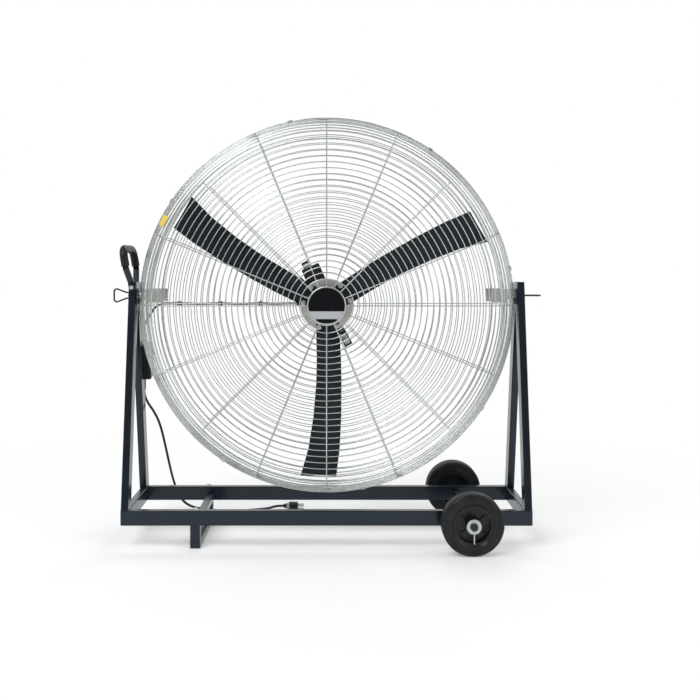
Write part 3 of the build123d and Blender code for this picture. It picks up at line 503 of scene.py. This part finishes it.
def join_flats(piece):
    """Joins triangles that lie in one plane."""
    choose(piece)
    bpy.ops.object.mode_set(mode="EDIT")
    bpy.ops.mesh.select_all(action="SELECT")
    bpy.ops.mesh.dissolve_limited(angle_limit=radians(FLAT_ANGLE))
    bpy.ops.object.mode_set(mode="OBJECT")


def round_edges(piece, width, shortest, steps):
    """Rounds the outward edges that are at least the shortest length."""
    join_flats(piece)
    bpy.ops.object.mode_set(mode="EDIT")
    bpy.ops.mesh.select_all(action="DESELECT")
    bpy.ops.mesh.select_mode(type="EDGE")
    shape = bmesh.from_edit_mesh(piece.data)
    for edge in shape.edges:
        outward = edge.is_manifold and edge.is_convex
        sharp = outward and edge.calc_face_angle(0.0) > radians(EDGE_ANGLE)
        edge.select_set(sharp and edge.calc_length() >= shortest)
    bmesh.update_edit_mesh(piece.data)
    bpy.ops.mesh.bevel(offset=width, offset_type="OFFSET", segments=steps, affect="EDGES",
                       clamp_overlap=True)
    bpy.ops.object.mode_set(mode="OBJECT")
    weigh = piece.modifiers.new("even_normals", "WEIGHTED_NORMAL")
    weigh.keep_sharp = True


def dress(node, width=0.0, shortest=0.0, angle=38, steps=3, thinner=0.0):
    """Shows a CAD node as a copy with rounded edges and smooth curves."""
    piece = merged_copy(node)
    if thinner:
        drawn = piece.modifiers.new("thinner_wire", "DISPLACE")
        drawn.mid_level, drawn.strength = 0.0, -thinner
    if width:
        round_edges(piece, width, shortest, steps)
    smooth(piece, angle)
    apply_modifiers(piece)
    body = body_of(frame["nodes"][node])[0]
    return hand_in(piece, node + "_skin", SLOTS[node], body, node)


def solids(node):
    """Lowest and highest corner of each separate solid of a CAD node."""
    shape = bmesh.new()
    shape.from_mesh(frame["nodes"][node].data)
    bmesh.ops.remove_doubles(shape, verts=shape.verts, dist=MERGE)
    left, found = set(shape.verts), []
    while left:
        reached, edge_of_reach = set(), [next(iter(left))]
        while edge_of_reach:
            vertex = edge_of_reach.pop()
            if vertex in reached:
                continue
            reached.add(vertex)
            edge_of_reach += [e.other_vert(vertex) for e in vertex.link_edges]
        left -= reached
        places = [v.co for v in reached]
        found.append(tuple(Vector([pick(p[i] for p in places) for i in range(3)])
                           for pick in (min, max)))
    shape.free()
    return sorted(found, key=lambda pair: tuple(round(c, 5) for c in pair[0]))


def new_mesh(name, points, edges):
    """Mesh object from points and edges, linked and active."""
    mesh = bpy.data.meshes.new(name)
    mesh.from_pydata([tuple(p) for p in points], edges, [])
    piece = bpy.data.objects.new(name, mesh)
    bpy.context.scene.collection.objects.link(piece)
    choose(piece)
    return piece


def turned_piece(name, profile, centre, axis, across, closed=True, steps=None):
    """Solid turned from a profile of (along the axis, radius) pairs."""
    centre, axis, across = Vector(centre), Vector(axis), Vector(across)
    points = [centre + axis * a + across * r for a, r in profile]
    edges = [(i, i + 1) for i in range(len(points) - 1)]
    if closed:
        edges.append((len(points) - 1, 0))
    piece = new_mesh(name, points, edges)
    bpy.ops.object.mode_set(mode="EDIT")
    bpy.ops.mesh.select_all(action="SELECT")
    steps = steps or bpy.context.scene.fan_sizes.round_steps
    bpy.ops.mesh.spin(steps=steps, angle=2 * pi, center=centre, axis=axis)
    bpy.ops.mesh.select_all(action="SELECT")
    bpy.ops.mesh.remove_doubles(threshold=MERGE)
    bpy.ops.mesh.normals_make_consistent(inside=False)
    bpy.ops.object.mode_set(mode="OBJECT")
    return piece


def arc(centre, radius, start, end, steps):
    """Points of an arc from one angle to another, in degrees."""
    a = [radians(start + (end - start) * i / steps) for i in range(steps + 1)]
    return [(centre[0] + radius * cos(t), centre[1] + radius * sin(t)) for t in a]


def hexagon_head(radius, height):
    """Hexagonal bolt head on a washer, along +Z from z = 0, its top edges rounded."""
    bpy.ops.object.select_all(action="DESELECT")
    bpy.ops.mesh.primitive_cylinder_add(vertices=6, radius=radius, depth=height * 0.8,
                                        location=(0, 0, height * 0.6))
    head = bpy.context.object
    bpy.ops.object.mode_set(mode="EDIT")
    bpy.ops.mesh.select_all(action="DESELECT")
    shape = bmesh.from_edit_mesh(head.data)
    for face in shape.faces:
        face.select_set(face.normal.z > 0.9)
    bmesh.update_edit_mesh(head.data)
    bpy.ops.mesh.inset(thickness=radius * 0.14, depth=0.0)
    bpy.ops.transform.translate(value=(0, 0, height * 0.04))
    bpy.ops.mesh.inset(thickness=radius * 0.30, depth=0.0)
    bpy.ops.mesh.inset(thickness=radius * 0.04, depth=-height * 0.05)
    bpy.ops.object.mode_set(mode="OBJECT")
    bpy.ops.object.select_all(action="DESELECT")
    bpy.ops.mesh.primitive_cylinder_add(vertices=36, radius=radius * 1.22, depth=height * 0.2,
                                        location=(0, 0, height * 0.1))
    washer = bpy.context.object
    edge = washer.modifiers.new("rounding", "BEVEL")
    edge.width, edge.segments = height * 0.07, 2
    apply_modifiers(washer)
    settle(head)
    settle(washer)
    choose(washer, head)
    bpy.ops.object.join()
    return head


def place_copies(model, places, name):
    """Copies of a model along +Z at each (point, direction), joined into one object."""
    copies = []
    for i, (point, direction) in enumerate(places):
        copy = bpy.data.objects.new(f"{name}_{i}", model.data.copy())
        turn = Vector(direction).to_track_quat("Z", "X").to_matrix().to_4x4()
        copy.data.transform(Matrix.Translation(point) @ turn @ Matrix.Rotation(0.4 * i, 4, "Z"))
        bpy.context.scene.collection.objects.link(copy)
        copies.append(copy)
    bpy.data.objects.remove(model)
    choose(*copies)
    bpy.ops.object.join()
    return bpy.context.object


def bolt_heads(node, body):
    """Hexagonal heads and nuts at both ends of a node's bolts, which run along Y."""
    places = []
    for low, high in solids(node):
        x, z, radius = (low.x + high.x) / 2, (low.z + high.z) / 2, (high.x - low.x) / 2
        places += [((x, low.y + BOLT_HEAD, z), (0, -1, 0)),
                   ((x, high.y - BOLT_HEAD, z), (0, 1, 0))]
    heads = place_copies(hexagon_head(radius, BOLT_HEAD), places, node)
    smooth(heads, 35)
    return hand_in(heads, node + "_heads", SLOTS[node], body, node)


# ---------------------------------------------------------------- cables
# Control points of the cables, in metres, the same as in the CAD source.
POWER_CORD = [
    (-0.5105, 0.100611, 0.371057), (-0.5105, 0.105636, 0.346567), (-0.481, 0.112, 0.303),
    (-0.468, 0.126, 0.263), (-0.458, 0.148, 0.198), (-0.451, 0.182, 0.130), (-0.443, 0.212, 0.074),
    (-0.426, 0.234, 0.025), (-0.394, 0.242, 0.0036), (-0.350, 0.225, 0.0036),
    (-0.304, 0.205, 0.0036), (-0.256, 0.207, 0.0036), (-0.206, 0.222, 0.0036),
    (-0.172, 0.230, 0.0046), (-0.148, 0.229, 0.0125), (-0.128, 0.229, 0.0125),
]
MOTOR_LEAD = [
    (-0.083, 0.0702, 0.613), (-0.112, 0.0702, 0.613), (-0.146, 0.0702, 0.6114),
    (-0.182, 0.0702, 0.6135), (-0.238, 0.0702, 0.6112), (-0.294, 0.0702, 0.6135),
    (-0.350, 0.0702, 0.6112), (-0.400, 0.0702, 0.6133), (-0.424, 0.0702, 0.613),
    (-0.440, 0.0702, 0.613),
]
LEAD_LOOP = [
    (-0.440, 0.0702, 0.613), (-0.456, 0.0702, 0.613), (-0.473, 0.074, 0.605),
    (-0.487, 0.078, 0.585), (-0.500, 0.075, 0.561), (-0.5105, 0.066238, 0.538567),
    (-0.5105, 0.070660, 0.517016),
]

# The plug, in metres from the end of the cord along the plug's axis.
PLUG_NECK = 0.0051
PLUG_RADIUS = 0.0125
PLUG_LONG = 0.042
RIB_START = 0.0185
RIB_PITCH = 0.0030
RIB_COUNT = 4
PRONG_MIDDLE = 0.0505
PRONG_LONG = 0.019
PRONG_SIDE = 0.00635
PRONG_RISE = 0.002
PIN_RADIUS = 0.0024
PIN_DROP = 0.0077
PLUG_BAND = [(0.0085, 0.0070), (0.0092, 0.0078), (0.0140, 0.0096),
             (0.0175, 0.0112), (0.0178, 0.0104), (0.0140, 0.0086)]


def cable(name, points, diameter):
    """Round cable on one smooth spline."""
    line = bpy.data.curves.new(name, "CURVE")
    line.dimensions = "3D"
    line.resolution_u = 10
    line.bevel_depth = diameter / 2
    line.bevel_resolution = 3
    line.use_fill_caps = True
    spline = line.splines.new("NURBS")
    spline.points.add(len(points) - 1)
    for point, place in zip(spline.points, points):
        point.co = (*place, 1.0)
    spline.order_u = 3
    spline.use_endpoint_u = True
    piece = bpy.data.objects.new(name, line)
    bpy.context.scene.collection.objects.link(piece)
    return piece


def centre_line(piece):
    """Points along a cable's own spline."""
    depth, piece.data.bevel_depth = piece.data.bevel_depth, 0.0
    bpy.context.view_layer.update()
    mesh = bpy.data.meshes.new_from_object(piece)
    points = [tuple(v.co) for v in mesh.vertices]
    piece.data.bevel_depth = depth
    bpy.data.meshes.remove(mesh)
    bpy.context.view_layer.update()
    return points


def plug_body(at):
    """Turned body of the plug with a waist and finger ribs, its axis along +X."""
    outline = [(0.0, 0.0), (0.0, PLUG_NECK - 0.0006), (0.0006, PLUG_NECK), (0.0146, 0.0092),
               (0.0165, 0.0104)]
    for i in range(RIB_COUNT):
        start = RIB_START + i * RIB_PITCH
        outline += [(start, PLUG_RADIUS - 0.0007), (start + 0.0006, PLUG_RADIUS),
                    (start + 0.0018, PLUG_RADIUS), (start + 0.0024, PLUG_RADIUS - 0.0007)]
    outline += [(0.0315, PLUG_RADIUS - 0.0004), (PLUG_LONG - 0.0012, PLUG_RADIUS - 0.0004),
                (PLUG_LONG, PLUG_RADIUS - 0.0016), (PLUG_LONG, 0.0)]
    return turned_piece("plug_body", outline, at, (1, 0, 0), (0, 0, 1), closed=False, steps=48)


def plug_prongs(at):
    """Two flat prongs and a round earth pin."""
    parts = []
    for y in (-PRONG_SIDE, PRONG_SIDE):
        bpy.ops.object.select_all(action="DESELECT")
        bpy.ops.mesh.primitive_cube_add(size=1,
                                        location=at + Vector((PRONG_MIDDLE, y, PRONG_RISE)),
                                        scale=(PRONG_LONG, 0.0015, 0.0064))
        parts.append(bpy.context.object)
    bpy.ops.object.select_all(action="DESELECT")
    bpy.ops.mesh.primitive_cylinder_add(vertices=24, radius=PIN_RADIUS, depth=PRONG_LONG,
                                        location=at + Vector((PRONG_MIDDLE, 0, -PIN_DROP)),
                                        rotation=(0, pi / 2, 0))
    parts.append(bpy.context.object)
    for part in parts:
        settle(part)
    choose(*parts)
    bpy.ops.object.join()
    joined = bpy.context.object
    edge = joined.modifiers.new("rounding", "BEVEL")
    edge.width, edge.segments = 0.0005, 2
    apply_modifiers(joined)
    return joined


class FAN_OT_cables(Operator):
    """Power cord with its plug, the motor's lead and its free loop"""
    bl_idname = "drum_fan.cables"
    bl_label = "Cables"

    def execute(self, context):
        thick = context.scene.fan_sizes.cord_diameter
        at = Vector(POWER_CORD[-1])
        body = plug_body(at)
        smooth(body, 50)
        hand_in(body, "plug_body", "black_plastic", "frame", "plug")
        prongs = plug_prongs(at)
        smooth(prongs, 40)
        hand_in(prongs, "plug_prongs", "zinc_steel", "frame", "plug")
        band = turned_piece("plug_band", PLUG_BAND, at, (1, 0, 0), (0, 0, 1), steps=48)
        smooth(band, 50)
        hand_in(band, "plug_band", "plug_band", "frame")
        cord = cable("power_cord_cable", POWER_CORD, thick)
        hand_in(cord, "power_cord_cable", "cord_sheath", "frame", "power_cord")
        lead = cable("motor_lead_cable", MOTOR_LEAD, thick)
        hand_in(lead, "motor_lead_cable", "cord_sheath", "head", "motor_lead")
        self.loop(thick)
        return {"FINISHED"}

    def loop(self, thick):
        """Free loop between the drum and the switch box, which bends as the drum tilts."""
        guide = cable("loop_guide", LEAD_LOOP, thick)
        path = centre_line(guide)
        mesh = bpy.data.meshes.new_from_object(guide)
        loop = bpy.data.objects.new("lead_loop_cable", mesh)
        bpy.context.scene.collection.objects.link(loop)
        bpy.data.objects.remove(guide)
        loop.data.materials.clear()
        loop.data.materials.append(finish_for("cord_sheath"))
        smooth(loop, 50)
        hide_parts("motor_lead_loop")
        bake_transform(loop, "head", "frame", start=LEAD_LOOP[1], end=LEAD_LOOP[-2])


# ---------------------------------------------------------------- pieces
class FAN_OT_base(Operator):
    """Base tubes with rounded corners, their plugs, the foot and the cross member"""
    bl_idname = "drum_fan.base"
    bl_label = "Base"

    def execute(self, context):
        sizes = context.scene.fan_sizes
        for node in ("base_front_tube", "base_rear_tube", "base_side_tubes", "cross_member"):
            dress(node, sizes.tube_corner, TUBE_EDGE)
        dress("foot", sizes.casting_edge, MOULDED_EDGE)
        dress("tube_plugs", sizes.casting_edge, MOULDED_EDGE)
        return {"FINISHED"}


class FAN_OT_side_frames(Operator):
    """Legs of the two A-shaped side frames and their pivot plates"""
    bl_idname = "drum_fan.side_frames"
    bl_label = "Side frames"

    def execute(self, context):
        sizes = context.scene.fan_sizes
        for node in ("leg_front_left", "leg_rear_left", "leg_front_right", "leg_rear_right"):
            dress(node, sizes.tube_corner, TUBE_EDGE)
        dress("pivot_plates", sizes.sheet_edge, SHEET_EDGE)
        return {"FINISHED"}


class FAN_OT_handle(Operator):
    """Handle: two flat straps and a round grip"""
    bl_idname = "drum_fan.handle"
    bl_label = "Handle"

    def execute(self, context):
        sizes = context.scene.fan_sizes
        dress("handle_straps", sizes.sheet_edge, SHEET_EDGE)
        dress("handle_grip")
        dress("handle_bolts", sizes.sheet_edge, SMALL_EDGE)
        return {"FINISHED"}


class FAN_OT_pivots(Operator):
    """Brackets in the drum, their studs and the two tilt knobs"""
    bl_idname = "drum_fan.pivots"
    bl_label = "Pivots and knobs"

    def execute(self, context):
        sizes = context.scene.fan_sizes
        dress("pivot_brackets", sizes.sheet_edge, SHEET_EDGE)
        dress("pivot_studs", sizes.sheet_edge, SMALL_EDGE)
        for node in ("tilt_knob_left", "tilt_knob_right"):
            dress(node, angle=45)
        return {"FINISHED"}


class FAN_OT_guards(Operator):
    """Welded wire of the drum's two halves, and the clips round their rims"""
    bl_idname = "drum_fan.guards"
    bl_label = "Guards"

    def execute(self, context):
        sizes = context.scene.fan_sizes
        for node in ("front_guard", "rear_guard"):
            dress(node, angle=52, thinner=sizes.wire_draw)
        for node in ("front_guard_side", "rear_guard_side"):
            dress(node, angle=52)
        dress("guard_clips", sizes.sheet_edge, SHEET_EDGE)
        return {"FINISHED"}


class FAN_OT_badge(Operator):
    """Bezel and disc in the middle of the front guard, and the tag on its side"""
    bl_idname = "drum_fan.badge"
    bl_label = "Badge and tag"

    def execute(self, context):
        sizes = context.scene.fan_sizes
        dress("badge_bezel", angle=50)
        dress("badge_face", sizes.sheet_edge, SMALL_EDGE)
        dress("hang_tag", sizes.sheet_edge / 2, SHEET_EDGE)
        return {"FINISHED"}


class FAN_OT_rotor(Operator):
    """Blades, hub disc, shaft and the hexagon bolts that hold the blades"""
    bl_idname = "drum_fan.rotor"
    bl_label = "Rotor"

    def execute(self, context):
        sizes = context.scene.fan_sizes
        for i in (1, 2, 3):
            dress(f"blade_{i}", sizes.sheet_edge, SHEET_EDGE, angle=35, steps=2)
        dress("blade_hub", sizes.sheet_edge, SMALL_EDGE)
        dress("motor_shaft", sizes.sheet_edge, SMALL_EDGE)
        bolt_heads("blade_bolts", "rotor")
        return {"FINISHED"}


class FAN_OT_motor(Operator):
    """Motor, its terminal box, and the strap that carries it"""
    bl_idname = "drum_fan.motor"
    bl_label = "Motor"

    def execute(self, context):
        sizes = context.scene.fan_sizes
        for node in ("motor_body", "motor_shields"):
            dress(node, sizes.casting_edge, SMALL_EDGE)
        dress("terminal_box", sizes.casting_edge, MOULDED_EDGE)
        for node in ("motor_mount", "clamp_plates"):
            dress(node, sizes.sheet_edge, SHEET_EDGE)
        dress("motor_gland")
        dress("lead_clips", sizes.casting_edge / 2, SHEET_EDGE)
        bolt_heads("mount_bolts", "head")
        return {"FINISHED"}


GROOVE_SHARE = 0.42      # place of the outer grooves, from the middle to the side of the tread
GROOVE_TOP = 0.0016      # half the width of a groove at the tread
GROOVE_FLOOR = 0.0009    # half the width of its floor


class FAN_OT_wheels(Operator):
    """Tyres with rounded shoulders on rims with windows, the axle and its pins"""
    bl_idname = "drum_fan.wheels"
    bl_label = "Wheels"

    def execute(self, context):
        sizes = context.scene.fan_sizes
        for side in ("front", "rear"):
            dress(f"wheel_rim_{side}", sizes.casting_edge, RIM_EDGE)
            self.tyre(f"wheel_tyre_{side}", f"wheel_{side}", sizes)
        for node in ("axle", "axle_spacers", "axle_washers"):
            dress(node, sizes.sheet_edge, SMALL_EDGE)
        dress("split_pins", angle=50)
        return {"FINISHED"}

    def tyre(self, node, body, sizes):
        """One tyre, turned round the axle from its section."""
        low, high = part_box(node)
        centre, half, radius = (low + high) / 2, (high.y - low.y) / 2, (high.z - low.z) / 2
        shoulder, groove = sizes.tyre_shoulder, sizes.tyre_groove
        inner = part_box(node.replace("tyre", "rim"))[1].z - centre.z + 0.0001
        bead = [(half - 0.003, inner), (half, inner + 0.004), (half - 0.0008, inner + 0.009)]
        section = [(-along, away) for along, away in bead]
        section += arc((-half + shoulder, radius - shoulder), shoulder, 180, 90, 6)
        for at in (-half * GROOVE_SHARE, 0.0, half * GROOVE_SHARE):
            section += [(at - GROOVE_TOP, radius), (at - GROOVE_FLOOR, radius - groove),
                        (at + GROOVE_FLOOR, radius - groove), (at + GROOVE_TOP, radius)]
        section += arc((half - shoulder, radius - shoulder), shoulder, 90, 0, 6)
        section += bead[::-1]
        piece = turned_piece(node + "_skin", section, centre, (0, 1, 0), (0, 0, 1))
        smooth(piece, 40)
        hand_in(piece, node + "_skin", "tyre", body, node)


class FAN_OT_switch(Operator):
    """Switch box, its cover, screws and knob, and the cable glands"""
    bl_idname = "drum_fan.switch"
    bl_label = "Switch"

    def execute(self, context):
        sizes = context.scene.fan_sizes
        for node in ("switch_box", "switch_cover"):
            dress(node, sizes.casting_edge, CASE_EDGE)
        dress("switch_knob", sizes.casting_edge / 2, SHEET_EDGE)
        dress("cover_screws", sizes.sheet_edge, SMALL_EDGE)
        dress("switch_body", sizes.casting_edge / 2, SHEET_EDGE)
        dress("cable_glands", angle=45)
        return {"FINISHED"}


class FAN_OT_foot_bolts(Operator):
    """Hexagon heads of the bolts that hold the foot"""
    bl_idname = "drum_fan.foot_bolts"
    bl_label = "Foot bolts"

    def execute(self, context):
        places = []
        for low, high in solids("foot_bolts"):
            radius = (high.x - low.x) / 2
            seat = ((low.x + high.x) / 2, (low.y + high.y) / 2, high.z - FOOT_BOLT_HEAD)
            places.append((seat, (0, 0, 1)))
        heads = place_copies(hexagon_head(radius, FOOT_BOLT_HEAD), places, "foot_bolt")
        smooth(heads, 35)
        hand_in(heads, "foot_bolt_heads", SLOTS["foot_bolts"], "frame", "foot_bolts")
        return {"FINISHED"}


# ---------------------------------------------------------------- stage
def lamp(name, place, aim, power, wide, tall):
    """Rectangular soft lamp aimed at a point."""
    light = bpy.data.lights.new(name, "AREA")
    light.shape = "RECTANGLE"
    light.energy, light.size, light.size_y = power, wide, tall
    piece = bpy.data.objects.new(name, light)
    piece.location = place
    piece.rotation_euler = (Vector(aim) - Vector(place)).to_track_quat("-Z", "Y").to_euler()
    bpy.context.scene.collection.objects.link(piece)
    return piece


def white_rays(finish):
    """1 for the rays that see the backdrop straight, in a mirror or through glass."""
    rays = finish.node("ShaderNodeLightPath")
    sees = [Value(finish, rays.socket.node.outputs[name])
            for name in ("Is Camera Ray", "Is Glossy Ray", "Is Transmission Ray")]
    return sees[0].math("MAXIMUM", sees[1]).math("MAXIMUM", sees[2])


WHITE = (1.0, 1.0, 1.0, 1.0)
PALE = (0.98, 0.98, 0.98, 1.0)
SKY = (0.97, 0.985, 1.0, 1.0)
NEAR_WHITE = 0.15        # share of plain white in the floor under the fan
ROOM_DIM = 0.80          # by how much mirrors see the room behind the camera dimmer


def floor_finish():
    """Matt pale floor that turns into plain white away from the fan."""
    made = Finish("floor", Roughness=0.9, Specular_IOR_Level=0.1)
    made.feed(Base_Color=PALE)
    x, y = made.axis("X"), made.axis("Y")
    away = (x * x + y * y).math("SQRT")
    share = NEAR_WHITE + away.over(1.0, 1.4) * (1 - NEAR_WHITE)
    glow = made.node("ShaderNodeEmission", None, {"Color": WHITE, "Strength": 1.0}, "Emission")
    shown = made.node("ShaderNodeMixShader", None, {
        0: white_rays(made) * share, 1: Value(made, made.shader.outputs[0]), 2: glow})
    made.tree.links.new(shown.socket, made.tree.nodes["Material Output"].inputs["Surface"])
    return made.material


class WorldTree(Finish):
    """Node tree of the world."""

    def __init__(self, world):
        world.use_nodes = True
        self.tree = world.node_tree


def world_finish(dome):
    """Even soft light, plain white where it is seen, and a dim room behind the camera."""
    world = bpy.data.worlds.new("studio")
    made = WorldTree(world)
    out, back = made.tree.nodes["World Output"], made.tree.nodes["Background"]
    back.inputs["Color"].default_value = WHITE
    behind = made.axis("Y", made.node("ShaderNodeTexCoord", output="Generated"))
    mirrored = made.node("ShaderNodeLightPath", output="Is Glossy Ray")
    dim = mirrored * (1 - behind.over(-0.30, 0.90)) * ROOM_DIM
    made.tree.links.new((1 - dim).socket, back.inputs["Strength"])
    even = made.node("ShaderNodeBackground", None, {"Color": SKY, "Strength": dome})
    shown = made.node("ShaderNodeMixShader", None, {
        0: white_rays(made), 1: even, 2: Value(made, back.outputs[0])})
    made.tree.links.new(shown.socket, out.inputs["Surface"])
    return world


class FAN_OT_camera(Operator):
    """Camera at the picture's place"""
    bl_idname = "drum_fan.camera"
    bl_label = "Camera"

    def execute(self, context):
        stage = context.scene.fan_stage
        camera = bpy.data.objects.new("camera", bpy.data.cameras.new("camera"))
        context.scene.collection.objects.link(camera)
        camera.location = stage.camera_place
        camera.rotation_euler = (pi / 2, 0, 0)
        camera.data.lens = stage.lens
        camera.data.sensor_width = 36.0
        camera.data.shift_x, camera.data.shift_y = stage.camera_shift
        context.scene.camera = camera
        return {"FINISHED"}


class FAN_OT_stage(Operator):
    """Floor, lamps and world"""
    bl_idname = "drum_fan.stage"
    bl_label = "Stage"

    def execute(self, context):
        stage = context.scene.fan_stage
        bpy.ops.object.select_all(action="DESELECT")
        bpy.ops.mesh.primitive_plane_add(size=24)
        floor = context.object
        floor.name = "floor"
        floor.data.materials.append(floor_finish())
        lamp("key_lamp", (-1.5, -2.0, 2.9), (0, 0, 0.45), stage.key_power, 1.8, 1.8)
        lamp("fill_lamp", (2.4, -1.6, 1.5), (0, 0, 0.5), stage.fill_power, 1.4, 1.8)
        lamp("back_lamp", (0.4, 2.2, 2.6), (0, 0, 0.5), stage.back_power, 2.4, 1.0)
        context.scene.world = world_finish(stage.dome)
        context.scene.view_settings.view_transform = "Standard"
        return {"FINISHED"}


# ---------------------------------------------------------------- add-on
STEPS = (FAN_OT_camera, FAN_OT_cables, FAN_OT_base, FAN_OT_foot_bolts, FAN_OT_side_frames,
         FAN_OT_handle, FAN_OT_pivots, FAN_OT_guards, FAN_OT_badge, FAN_OT_rotor, FAN_OT_motor,
         FAN_OT_wheels, FAN_OT_switch, FAN_OT_stage)


class FAN_PT_panel(Panel):
    """Lists the steps and the sizes of the drum fan"""
    bl_idname = "FAN_PT_panel"
    bl_label = "Drum fan"
    bl_space_type = "VIEW_3D"
    bl_region_type = "UI"
    bl_category = "Drum fan"

    def draw(self, context):
        for step in STEPS:
            self.layout.operator(step.bl_idname)
        for group in (context.scene.fan_sizes, context.scene.fan_colours, context.scene.fan_stage):
            box = self.layout.box()
            for name in group.bl_rna.properties.keys():
                if name not in {"rna_type", "name"}:
                    box.prop(group, name)


CLASSES = (FanSizes, FanColours, FanStage, *STEPS, FAN_PT_panel)


def register():
    for one in CLASSES:
        bpy.utils.register_class(one)
    bpy.types.Scene.fan_sizes = PointerProperty(type=FanSizes)
    bpy.types.Scene.fan_colours = PointerProperty(type=FanColours)
    bpy.types.Scene.fan_stage = PointerProperty(type=FanStage)


def unregister():
    for name in ("fan_sizes", "fan_colours", "fan_stage"):
        delattr(bpy.types.Scene, name)
    for one in reversed(CLASSES):
        bpy.utils.unregister_class(one)


def main():
    """Runs every step."""
    register()
    for step in STEPS:
        getattr(bpy.ops.drum_fan, step.bl_idname.split(".")[1])()


if __name__ == "__main__":
    main()
